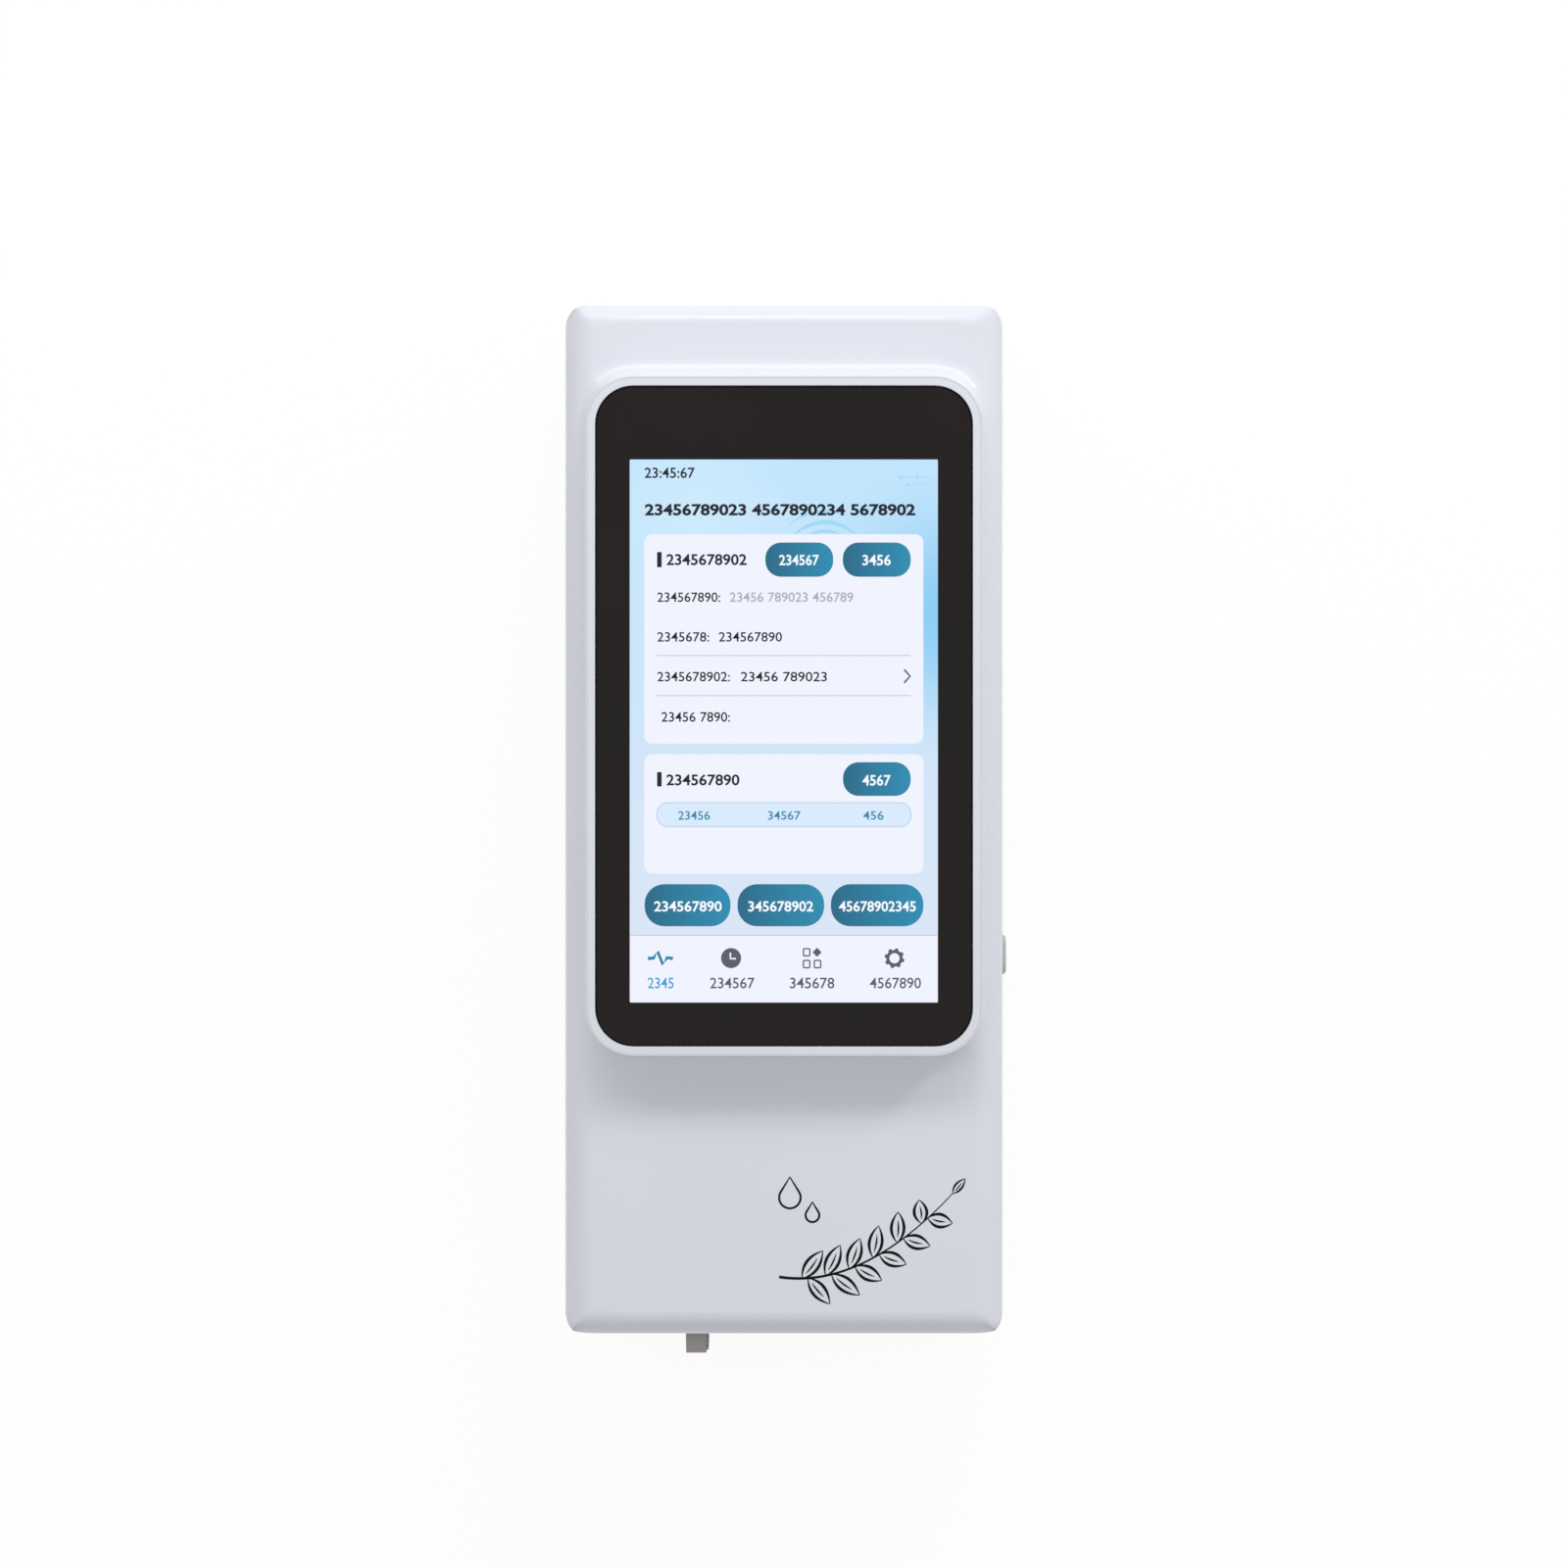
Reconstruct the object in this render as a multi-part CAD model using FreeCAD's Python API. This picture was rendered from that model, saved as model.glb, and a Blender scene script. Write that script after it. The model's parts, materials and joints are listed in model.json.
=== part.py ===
import FreeCAD, Part
import math
import os

# Fluorescence rapid test reader: a two-shell housing with a raised touch screen, a hand-pulled drawer
# for the test cassette, and a scanning optical head on a small bench beside the battery.
#
# Millimetres. +Z points out of the screen, +Y to the end with the charging inlet, +X to the power
# button. The origin is the middle of the housing's outline, on the table that it rests on.

Vector = FreeCAD.Vector
UP = Vector(0, 0, 1)

# ---------------------------------------------------------------- housing
body_width = 90.2
body_length = 211.6
foot_proud = 2.0         # what the rubber feet stand proud of the base
back_height = 24.0       # base to seam
front_height = 23.0      # seam to deck
platform_rise = 9.0      # deck to screen rim
wall = 2.5
side_edge_r = 6.0        # rounding of the deck along its long sides
top_edge_r = 4.0         # and at its two ends
low_edge_r = 5.0
base_edge_r = 5.0
top_corner_r = 5.0       # upright corners at the inlet end
low_corner_r = 4.9       # upright corners at the drawer end, an arc of this sweep,
low_corner_sweep = 55.0
low_end_r = 26.0         # then a shallow arc that runs this far in from the side
low_end_run = 6.2
low_kink_r = 1.5
cove_r = 4.5             # hollow where the platform meets the deck
rim_edge = 0.4           # chamfer round the rim
step_back = 0.5          # overlap that makes a rib and its wall one piece
seam_lip = 1.5           # height of the back shell's lip
seam_lip_thick = 1.2
seam_play = 0.1
seam_groove = 0.35       # shadow line round the seam
deck_rib_depth = 1.3
deck_rib_thick = 1.2
deck_rib_count = 2

# ---------------------------------------------------------------- screen
glass_width = 76.2
glass_length = 133.5
glass_corner_r = 7.6
glass_thick = 1.8
glass_drop = 0.2         # glass face below the rim
glass_edge = 0.3         # chamfer round the glass
glass_gap = 0.15
rim_width = 1.95
platform_margin = 15.8   # housing end to platform
platform_wall = 2.0
gasket_thick = 0.5
gasket_inset = 0.6
lcd_width = 66.0
lcd_length = 121.0
lcd_thick = 3.0
lcd_shift = -3.1         # display centre from platform centre
lcd_play = 0.4           # round the display in its window
frame_thick = 1.2        # pressed steel frame behind the display
frame_play = 0.7
frame_window = (21.0, 30.0)
frame_window_x = 15.5    # window centres from the display's centre
frame_window_low = -14.0
frame_window_high = 24.0
clip_length = 6.0        # snap ledges that hold the frame's long sides
clip_height = 1.2
clip_bite = 0.3
clip_ys = (-38.0, 16.0, 70.0)

# ---------------------------------------------------------------- shell screws and feet
pillar_half = 3.9        # square screw pillar in each corner
pillar_inset_x = 8.9     # screw centre from the side and from the end
pillar_inset_y = 8.5
shell_screw_r = 1.45
shell_head_width = 5.0   # hexagon across flats
shell_head_height = 2.0
shell_seat = 6.0         # plastic between screw head and seam
shell_screw_bite = 9.0   # thread in the front shell
pilot_spare = 1.5        # hole deeper than the screw
foot_width = 9.0
foot_length = 14.0
foot_corner = 2.0
foot_inset_x = 14.0
foot_inset_y = 24.0
bore_play = 0.05         # round a screw in its thread, or a piece in its seat
clearance_play = 0.15    # round a screw where it passes through
counterbore_r = 3.1

# ---------------------------------------------------------------- power button
button_from_low = 77.7   # button centre from the drawer end
button_above_seam = 10.0
button_length = 8.2
button_height = 4.6
button_proud = 1.05
button_play = 0.3
button_edge = 0.4
button_flange = 1.2      # flange beyond the cap, all round
button_flange_thick = 1.0
button_flange_gap = 0.3
switch_size = 6.0
switch_thick = 3.4
switch_gap = 1.8         # flange to switch body
plunger_half = 1.5       # square plunger
plunger_sunk = 2.1
plunger_play = 0.08
plunger_end_room = 0.8
button_board_width = 18.0
button_board_height = 14.0
rib_thick = 1.6          # slotted ribs that hold the button's board
slot_depth = 0.8
slot_play = 0.1

# ---------------------------------------------------------------- boards
board_thick = 1.6
board_width = 76.0
board_neck_width = 63.0  # between the screw pillars
board_neck_length = 11.8
board_past_battery = 23.3  # battery to the board's low edge
board_end_gap = 0.5
board_ceiling_gap = 0.5
standoff_x = 34.0
standoff_low = 16.0      # lower standoffs, from the board's low edge
standoff_high = 21.8     # upper ones, from its high edge
board_screw_bite = 4.0   # thread in a standoff
standoff_width = 5.0     # hexagon across flats
small_screw_r = 1.0
small_head_width = 3.8   # hexagon across flats
small_head_height = 1.2
small_screw_spare = 0.2  # hole deeper than the screw
can_size = (24.0, 28.0, 2.6)
can_x = -8.0
can_below_radio = 8.0
chip_height = 1.0
memory_chip = (10.0, 12.0)
power_chip = (7.0, 7.0)
radio_module = (16.0, 12.0)
radio_margin = 12.0      # from the platform's inner wall
chip_column_x = 18.0
usb_width = 8.9
usb_height = 3.2
usb_depth = 7.4
usb_recess = 0.9
usb_wall = 0.3
usb_tongue_thick = 0.7
usb_tongue_inset = 1.3
usb_slot_play = 0.35
buzzer_size = (9.0, 9.0, 3.0)
buzzer_x = -20.0
buzzer_from_high = 16.0
flex_width = 18.0
flex_thick = 0.3
flex_bend_r = 1.5
flex_above_board = 1.0
flex_from_low = 8.0      # where it leaves the display, from the display's low end
flex_tail = 3.0
flex_drop = 2.0
flex_slot_play = 2.0
flex_grip = 0.1
flex_socket = (20.0, 5.0, 2.0)
flex_socket_from_low = 6.5

# ---------------------------------------------------------------- battery
cell_r = 9.3
cell_pitch = 19.0
battery_length = 66.5
battery_from_low = 18.0
battery_pad = 1.0
battery_side_gap = 0.4
cradle_height = 7.5      # two cross ribs that keep the battery from sliding
cradle_thick = 1.5
cradle_gap = 0.3
cradle_overlap = 0.6     # part of a cell's radius that the ribs cover
foam_inset = 3.0
header = (9.0, 6.0, 5.0)
plug = (6.6, 6.0, 3.4)
plug_sunk = 3.0
header_inset = 2.0       # from the board's edge
plug_play = 0.1
lead_width = 3.2         # flat twin lead
lead_thick = 1.4
lead_run = 9.0
lead_bend = 0.45         # bend radius as a part of the shorter run

# ---------------------------------------------------------------- test drawer
cassette_width = 20.0
cassette_length = 70.0
cassette_thick = 5.0
cassette_play = 0.3
tray_rail = 2.6          # solid each side of the pocket
tray_tail_corner = 1.2
tray_floor = 1.7
tray_tail = 37.0         # guided length behind the pocket
tray_nose = 3.0          # solid between pocket and front
tray_lift = 0.3          # under the drawer
tray_front_thick = 3.0
tray_front_height = 11.0
tray_front_drop = 0.6    # front below the drawer's underside
tray_front_gap = 0.3
tray_front_over = 0.8    # front beyond the drawer at each side
tray_front_edge = 0.5
push_hole = (12.0, 34.0)
thumb_r = 6.0            # hollows for finger and thumb
thumb_lift = 1.5
thumb_length = 18.0
tail_bays = 2
tail_web = 2.0
tray_flag_x = 9.0        # flag for the drawer's light gate, from the drawer's centre line
tray_flag_reach = 3.5
tab_root = 4.66          # finger tab, seen from above
tab_tip = 4.22
tab_reach = 8.3
tab_height = 8.4
tab_edge = 0.4
tab_rib_height = 0.45
tab_rib_width = 1.1
tab_rib_pitch = 1.9
tab_rib_first = 1.6      # first rib from the front
tab_rib_inset = 0.6
tab_ribs = 3
magnet = (4.0, 2.5, 4.0)

# ---------------------------------------------------------------- scanning bench
bench_from_low = 13.5    # bench start from the drawer end
bench_thick = 2.0
bench_wall = 1.6
bench_side_gap = 0.5
bench_lift = 1.8         # bosses under the bench
bench_lip = 2.0
bench_lip_gap = 0.4
bench_lip_thick = 1.6
bench_wall_over = 1.0    # side walls above the lips
bench_bay = (20.0, 24.0)
bench_bay_ys = (18.0, 48.0)
bulkhead_thick = 2.5
bulkhead_gap = 66.5      # clear length between bulkheads
bulkhead_height = 24.2   # above the lips
ear_wall_gap = 1.4       # ears to the housing's side wall
ear_reach = 7.5
ear_length = 8.0
ear_screw_out = 4.0
ear_boss = 5.2           # square boss under an ear
ear_screw_bite = 2.8
stop_gap = 0.3
stop_thick = 5.0
stop_width = 11.0
rod_r = 1.5
rod_spread = 12.5        # guide rod from the drawer centre line
rod_height = 7.4         # rod above the lips
screw_r = 2.0            # lead screw
screw_height = 15.9      # lead screw above the lips
running_play = 0.04
nut_play = 0.08
bush_wall = 1.5
bearing_half = 3.4       # square bearing for the screw's end
bearing_wall = 1.8
shaft_end_gap = 0.3
screw_window = 2.8       # half width of the rear opening for the screw
motor_half = 10.0        # square motor
motor_length = 20.0
motor_corner = 1.8
motor_shaft_depth = 10.0
motor_shelf = (8.0, 2.0)  # length and thickness
motor_socket = (8.0, 3.0, 5.0)
bulkhead_window = (10.0, 10.0)
sensor_size = (6.2, 4.0, 6.0)
sensor_slot = 2.0
sensor_base = 1.2
sensor_gap = 0.8
flag_thick = 0.8
flag_height = 3.0
flag_drop = 1.0

# ---------------------------------------------------------------- scanning head
head_width = 20.0
head_length = 22.0
head_gap = 1.2           # head above the drawer
head_above_beam = 8.0    # head's top above the crossing of its two light paths
head_home_gap = 5.5      # from the front bulkhead
lug_wall = 1.2
screw_passage = 2.5      # half width of the square passage round the lead screw
lens_r = 3.0
lens_thick = 2.4
lens_floor = 1.5
lens_seat = 5.0          # depth of the round lens bore above the floor
slit_length = 5.0
slit_width = 2.0
lamp_gap = 0.36          # rod's lug to the lamp's board above it
beam_half = 3.6          # square light paths above the lens
led_path_half = 2.6
filter_thick = 1.5
mirror_length = 7.0
mirror_thick = 1.0
led_board = 8.8
led_board_thick = 1.2
led_chip = (1.6, 3.5)    # thickness and width
diode_size = (5.4, 4.4, 2.6)
filter_gap = 0.3         # under the detector, and behind the lamp
detector_margin = 1.0
detector_socket = (9.0, 4.0, 1.4)
detector_socket_at = (4.0, 6.5)
home_flag_x = -5.0
home_flag_reach = 4.0
nut_half = 3.6           # square nut
nut_length = 8.0
head_edge = 1.5
guide_slot_play = 0.05   # round the left rod, which only steadies the head

near = 0.01              # how close an edge must lie to a level to be picked out by it
past = 1.0               # how far a cutter runs past the face that it opens

# ---------------------------------------------------------------- levels and places that follow
half_width = body_width / 2
half_length = body_length / 2
low_end = -half_length
base_z = foot_proud
floor_z = base_z + wall
seam_z = base_z + back_height
deck_z = seam_z + front_height
ceiling_z = deck_z - wall
rim_z = deck_z + platform_rise

glass_z = rim_z - glass_drop - glass_thick
ledge_top_z = glass_z - gasket_thick
lcd_z = glass_z - lcd_thick
frame_z = lcd_z - frame_thick
platform_width = glass_width + 2 * (glass_gap + rim_width)
platform_length = glass_length + 2 * (glass_gap + rim_width)
platform_r = glass_corner_r + glass_gap + rim_width
platform_y = half_length - platform_margin - platform_length / 2
loft_width = platform_width - 2 * platform_wall
loft_length = platform_length - 2 * platform_wall
lcd_y = platform_y + lcd_shift
frame_width = loft_width - 2 * frame_play
frame_length = loft_length - 2 * frame_play

pillar_x = half_width - pillar_inset_x
pillar_y = half_length - pillar_inset_y
shell_seat_z = seam_z - shell_seat

button_y = low_end + button_from_low
button_z = seam_z + button_above_seam
button_flange_x = half_width - wall - button_flange_gap
flange_back_x = button_flange_x - button_flange_thick
switch_x = flange_back_x - switch_gap
board_face_x = switch_x - switch_thick
button_board_x = board_face_x - board_thick

board_top_z = ceiling_z - board_ceiling_gap
board_z = board_top_z - board_thick
battery_low = low_end + battery_from_low
battery_high = battery_low + battery_length
board_low = battery_high + board_past_battery
board_high = half_length - wall - board_end_gap
standoff_ys = (board_low + standoff_low, board_high - standoff_high)
usb_z = board_z - usb_height / 2
usb_high = half_length - usb_recess
flex_y = lcd_y - lcd_length / 2 + flex_from_low
flex_drop_y = flex_y + flex_drop
flex_z = board_top_z + flex_above_board
socket_low = board_low + flex_socket_from_low - flex_socket[1] / 2
radio_y = platform_y + loft_length / 2 - radio_margin - radio_module[1] / 2
can_centre = (can_x, radio_y - radio_module[1] / 2 - can_below_radio - can_size[1] / 2)

pocket_half = cassette_width / 2 + cassette_play
tray_half = pocket_half + tray_rail
bench_z = floor_z + bench_lift
bench_floor_z = bench_z + bench_thick
tray_z = bench_floor_z + tray_lift
pocket_z = tray_z + tray_floor
tray_top_z = pocket_z + cassette_thick + cassette_play
tray_low = low_end + tray_front_thick
pocket_low = tray_low + tray_nose
pocket_high = pocket_low + cassette_length + 2 * cassette_play
pocket_y = (pocket_low + pocket_high) / 2
tray_high = pocket_high + tray_tail
tray_front_z = tray_z - tray_front_drop
tray_front_half = tray_half + tray_front_over
tab_z = tray_front_z + (tray_front_height - tab_height) / 2
tab_tip_y = low_end - tab_reach
bench_in = tray_half + bench_side_gap
bench_out = bench_in + bench_wall
tray_x = -(half_width - wall - ear_wall_gap - ear_reach - bench_out)
flag_x = tray_x + tray_flag_x

bench_left = tray_x - bench_out
bench_right = tray_x + bench_out
bench_low = low_end + bench_from_low
bench_high = tray_high + stop_gap + stop_thick
lip_z = tray_top_z + bench_lip_gap
lip_top_z = lip_z + bench_lip_thick
bench_wall_z = lip_top_z + bench_wall_over
front_bulkhead_y = bench_low + bulkhead_thick
rear_bulkhead_y = front_bulkhead_y + bulkhead_gap
bulkhead_top_z = lip_top_z + bulkhead_height
motor_y = rear_bulkhead_y + bulkhead_thick
motor_end_y = motor_y + motor_length
rod_z = lip_top_z + rod_height
screw_x = tray_x + rod_spread
screw_z = lip_top_z + screw_height
ear_ys = (bench_low + ear_length, tray_high - ear_length)
magnet_z = (tray_z + tray_top_z - magnet[2]) / 2

head_z = tray_top_z + head_gap
head_low = front_bulkhead_y + head_home_gap
head_high = head_low + head_length
head_y = (head_low + head_high) / 2
head_left = tray_x - head_width / 2
bush_half = rod_r + running_play + bush_wall
lug_half = bush_half + lug_wall
nut_lug_half = nut_half + lug_wall
beam_z = rod_z + lug_half + lamp_gap + led_board / 2
head_top_z = beam_z + head_above_beam
lens_z = head_z + lens_floor
gate_x = tray_x + home_flag_x
gate_top_z = head_top_z - flag_drop

battery_x = tray_x + bench_out + ear_reach + battery_side_gap + cell_pitch / 2 + cell_r
battery_z = floor_z + battery_pad + cell_r
header_low = board_low + header_inset
header_z = board_z - header[2] / 2
plug_high = header_low + plug_sunk
plug_low = plug_high - plug[1]


# ---------------------------------------------------------------- plain forms
def box(xs, ys, zs):
    """Block between a low and a high limit along each axis."""
    size = (xs[1] - xs[0], ys[1] - ys[0], zs[1] - zs[0])
    return Part.makeBox(*size, Vector(xs[0], ys[0], zs[0]))


def around(centre, half):
    return (centre - half, centre + half)


def block(centre, size, z):
    """Block centred in plan on centre, standing on level z."""
    return box(around(centre[0], size[0] / 2), around(centre[1], size[1] / 2), (z, z + size[2]))


def post(radius, x, y, zs):
    """Upright cylinder."""
    return Part.makeCylinder(radius, zs[1] - zs[0], Vector(x, y, zs[0]), UP)


def bar(radius, x, z, ys):
    """Cylinder that lies along Y."""
    return Part.makeCylinder(radius, ys[1] - ys[0], Vector(x, ys[0], z), Vector(0, 1, 0))


def square_bar(half, x, z, ys):
    """Square bar that lies along Y."""
    return box(around(x, half), ys, around(z, half))


def hexagon(across, x, y, zs):
    """Upright hexagonal prism, measured across its flats."""
    reach = across / math.sqrt(3)
    corners = [Vector(x + reach * math.cos(k * math.pi / 3), y + reach * math.sin(k * math.pi / 3), zs[0])
               for k in range(7)]
    return Part.Face(Part.makePolygon(corners)).extrude(Vector(0, 0, zs[1] - zs[0]))


def joined(shapes):
    """One solid from pieces that touch or overlap."""
    return shapes[0].multiFuse(shapes[1:]).removeSplitter()


def without(shape, cutters):
    """The shape with every cutter taken out of it."""
    return shape.cut(cutters).removeSplitter()


def arc(a, middle, b):
    return Part.Arc(a, middle, b).toShape()


def rounded_face(us, vs, radii, place):
    """Rectangle in a plane, its corners rounded by radii in the order low-low, high-low, high-high,
    low-high; place turns a pair of plane coordinates into a point."""
    corners = [(us[0], vs[0]), (us[1], vs[0]), (us[1], vs[1]), (us[0], vs[1])]
    inward = [(1, 1), (-1, 1), (-1, -1), (1, -1)]
    spare = 1 - math.sqrt(0.5)
    ends = []
    for i, ((u, v), (du, dv), r) in enumerate(zip(corners, inward, radii)):
        along_u = (u + du * r, v)
        along_v = (u, v + dv * r)
        first, last = (along_v, along_u) if i % 2 == 0 else (along_u, along_v)
        ends.append((first, (u + du * spare * r, v + dv * spare * r), last, r))
    edges = []
    for (first, middle, last, r), following in zip(ends, ends[1:] + ends[:1]):
        if r > 0:
            edges.append(arc(place(*first), place(*middle), place(*last)))
        edges.append(Part.makeLine(place(*last), place(*following[0])))
    return Part.Face(Part.Wire(edges))


def slab(size, radius, centre, zs):
    """Rounded rectangle of width and length size, standing between two levels."""
    face = rounded_face(around(centre[0], size[0] / 2), around(centre[1], size[1] / 2), [radius] * 4,
                        lambda u, v: Vector(u, v, zs[0]))
    return face.extrude(Vector(0, 0, zs[1] - zs[0]))


def upright_plate(us, zs, radius, ys):
    """Plate across Y with rounded corners."""
    face = rounded_face(us, zs, [radius] * 4, lambda u, v: Vector(u, ys[0], v))
    return face.extrude(Vector(0, ys[1] - ys[0], 0))


def side_plate(vs, zs, radius, xs):
    """Plate across X with rounded corners."""
    face = rounded_face(vs, zs, [radius] * 4, lambda u, v: Vector(xs[0], u, v))
    return face.extrude(Vector(xs[1] - xs[0], 0, 0))


def strip_side(corners, radii, shift, x):
    """One side of a strip that follows square corners in the YZ plane, shift to the left of its path."""
    points = [Vector(x, y, z) for y, z in corners]
    runs = [(b - a).normalize() for a, b in zip(points, points[1:])]
    aside = [Vector(0, -run.z, run.y) * shift for run in runs]
    spare = 1 - math.sqrt(0.5)
    edges = []
    start = points[0] + aside[0]
    for k, r in enumerate(radii):
        corner = points[k + 1] + aside[k] + aside[k + 1]
        reach = r - shift * runs[k].cross(runs[k + 1]).x
        back = runs[k] * -reach
        on = runs[k + 1] * reach
        edges.append(Part.makeLine(start, corner + back))
        edges.append(arc(corner + back, corner + (back + on) * spare, corner + on))
        start = corner + on
    edges.append(Part.makeLine(start, points[-1] + aside[-1]))
    return edges


def strip_along(corners, radii, size, x):
    """Flat strip, size wide and thick, along a path of square corners with rounded bends."""
    left, right = [strip_side(corners, radii, side * size[1] / 2, x - size[0] / 2) for side in (1, -1)]
    ends = [Part.makeLine(left[k].Vertexes[k].Point, right[k].Vertexes[k].Point) for k in (0, -1)]
    outline = Part.Wire(Part.__sortEdges__(left + right + ends))
    return Part.Face(outline).extrude(Vector(size[0], 0, 0))


def edges_where(shape, test):
    return [edge for edge in shape.Edges if test(edge.BoundBox)]


def set_screws(screw, places, direction=UP):
    """Copies of a screw at each place, shank along direction, as one group of solids."""
    turn = FreeCAD.Rotation(UP, direction)
    return Part.makeCompound([screw.transformed(FreeCAD.Placement(Vector(*p), turn).toMatrix())
                              for p in places])


def hex_screw(radius, head_width, head_height, length):
    """Hexagon-headed screw that hangs from the origin: head below, shank up +Z."""
    return joined([hexagon(head_width, 0, 0, (-head_height, 0)), post(radius, 0, 0, (0, length))])


def small_screw(length):
    return hex_screw(small_screw_r, small_head_width, small_head_height, length)


# ---------------------------------------------------------------- the housing's form
def plan_half():
    """Right half of the housing's outline, from the inlet end round to the drawer end."""
    sweep = math.radians(low_corner_sweep)
    kink_x = half_width - low_corner_r * (1 - math.cos(sweep))
    end_x = kink_x - low_end_run
    kink_y = low_end + low_end_r - math.sqrt(low_end_r ** 2 - low_end_run ** 2)
    corner_y = kink_y + low_corner_r * math.sin(sweep)
    diagonal = top_corner_r * (1 - math.sqrt(0.5))
    centre_x = half_width - low_corner_r
    half_turn = math.asin(low_end_run / low_end_r) / 2
    p_top = Vector(half_width - top_corner_r, half_length, 0)
    p_top_mid = Vector(half_width - diagonal, half_length - diagonal, 0)
    p_side = Vector(half_width, half_length - top_corner_r, 0)
    p_corner = Vector(half_width, corner_y, 0)
    p_corner_mid = Vector(centre_x + low_corner_r * math.cos(sweep / 2),
                          corner_y - low_corner_r * math.sin(sweep / 2), 0)
    p_kink = Vector(kink_x, kink_y, 0)
    p_end_mid = Vector(end_x + low_end_r * math.sin(half_turn),
                       low_end + low_end_r * (1 - math.cos(half_turn)), 0)
    p_end = Vector(end_x, low_end, 0)
    return [Part.makeLine(Vector(0, half_length, 0), p_top), arc(p_top, p_top_mid, p_side),
            Part.makeLine(p_side, p_corner), arc(p_corner, p_corner_mid, p_kink),
            arc(p_kink, p_end_mid, p_end), Part.makeLine(p_end, Vector(0, low_end, 0))]


def plan_prism(inset, zs):
    """The outline, drawn in by inset, standing between two levels."""
    right = plan_half()
    left = [edge.mirror(Vector(0, 0, 0), Vector(1, 0, 0)) for edge in right]
    outline = Part.Wire(Part.__sortEdges__(right + left))
    if inset:
        outline = outline.makeOffset2D(-inset)
    prism = Part.Face(outline).extrude(Vector(0, 0, zs[1] - zs[0]))
    prism.translate(Vector(0, 0, zs[0]))
    return prism


def softened(prism):
    """The outline's prism with its two low kinks rounded."""
    reach = half_width - low_corner_r
    near_end = low_end + low_corner_r / 2

    def is_kink(b):
        upright = b.XLength < near and b.YLength < near
        return upright and low_end + near < b.YMin < near_end and abs(b.XMin) > reach
    return prism.makeFillet(low_kink_r, edges_where(prism, is_kink))


def body_block(inset):
    """The housing without its platform: outline, end view and side view taken together."""
    zs = (base_z + inset, deck_z - inset)
    prism = plan_prism(inset, zs)
    if not inset:
        prism = softened(prism)
    side_radii = [base_edge_r - inset] * 2 + [side_edge_r - inset] * 2
    across = rounded_face(around(0, half_width - inset), zs, side_radii,
                          lambda u, v: Vector(u, -body_length, v))
    end_radii = [base_edge_r - inset, base_edge_r - inset, top_edge_r - inset, low_edge_r - inset]
    along = rounded_face(around(0, half_length - inset), zs, end_radii,
                         lambda u, v: Vector(-body_width, u, v))
    return prism.common(across.extrude(Vector(0, 2 * body_length, 0))).common(
        along.extrude(Vector(2 * body_width, 0, 0)))


def seam_ring(outer_inset, inner_inset, zs):
    return plan_prism(outer_inset, zs).cut(plan_prism(inner_inset, zs))


def above(shape, z):
    return shape.common(box((-body_width, body_width), (-body_length, body_length), (z, z + body_length)))


def below(shape, z):
    return shape.common(box((-body_width, body_width), (-body_length, body_length), (z - body_length, z)))


def corner_places():
    return [(sx * pillar_x, sy * pillar_y) for sx in (-1, 1) for sy in (-1, 1)]


def pillars(zs):
    """Square screw pillars in the four corners."""
    return [box(around(x, pillar_half), around(y, pillar_half), zs) for x, y in corner_places()]


def with_platform(block_above):
    """Raised screen platform, its cove along the deck and its chamfered rim."""
    prism = slab((platform_width, platform_length), platform_r, (0, platform_y),
                 (deck_z - side_edge_r, rim_z))
    whole = joined([block_above, prism])
    half_w = platform_width / 2 + near
    low_y, high_y = around(platform_y, platform_length / 2 + near)

    def on_platform(b):
        return abs(b.XMin) < half_w and abs(b.XMax) < half_w and b.YMin > low_y and b.YMax < high_y

    def is_foot(b):
        return on_platform(b) and b.ZMin > ceiling_z and b.ZMax < deck_z + near

    def is_rim(b):
        return on_platform(b) and b.ZMin > rim_z - near
    whole = whole.makeFillet(cove_r, edges_where(whole, is_foot))
    return whole.makeChamfer(rim_edge, edges_where(whole, is_rim))


def button_ribs():
    """Two slotted ribs inside the side wall that hold the button's board on edge."""
    xs = (button_board_x - slot_depth, half_width - wall / 2)
    zs = (button_z - button_board_height / 2 - slot_depth, ceiling_z + step_back)
    inner = button_board_width / 2 - slot_depth
    ribs = [box(xs, sorted((button_y + side * inner, button_y + side * (inner + rib_thick))), zs)
            for side in (-1, 1)]
    slots = box((button_board_x - slot_play, board_face_x + slot_play),
                around(button_y, button_board_width / 2 + slot_play), (zs[0] + slot_depth, zs[1]))
    return [rib.cut(slots) for rib in ribs]


def deck_ribs():
    """Shallow stiffening ribs under the lower deck, over the battery."""
    zs = (ceiling_z - deck_rib_depth, ceiling_z + step_back)
    high = platform_y - platform_length / 2 - cove_r
    pitch = (half_width - wall) / (deck_rib_count + 1)
    ribs = [box(around(k * pitch, deck_rib_thick / 2), (low_end + wall, high), zs)
            for k in range(1, deck_rib_count + 1)]
    middle = (low_end + wall + high) / 2
    return ribs + [box((pitch, half_width - wall), around(middle, deck_rib_thick / 2), zs)]


def frame_clips():
    """Snap ledges on the platform's walls, under the long sides of the display frame."""
    wall_x = loft_width / 2
    reach = frame_play + clip_bite
    return [box(sorted((side * (wall_x - reach), side * (wall_x + step_back))), around(y, clip_length / 2),
                (frame_z - clip_height, frame_z)) for side in (-1, 1) for y in clip_ys]


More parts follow.
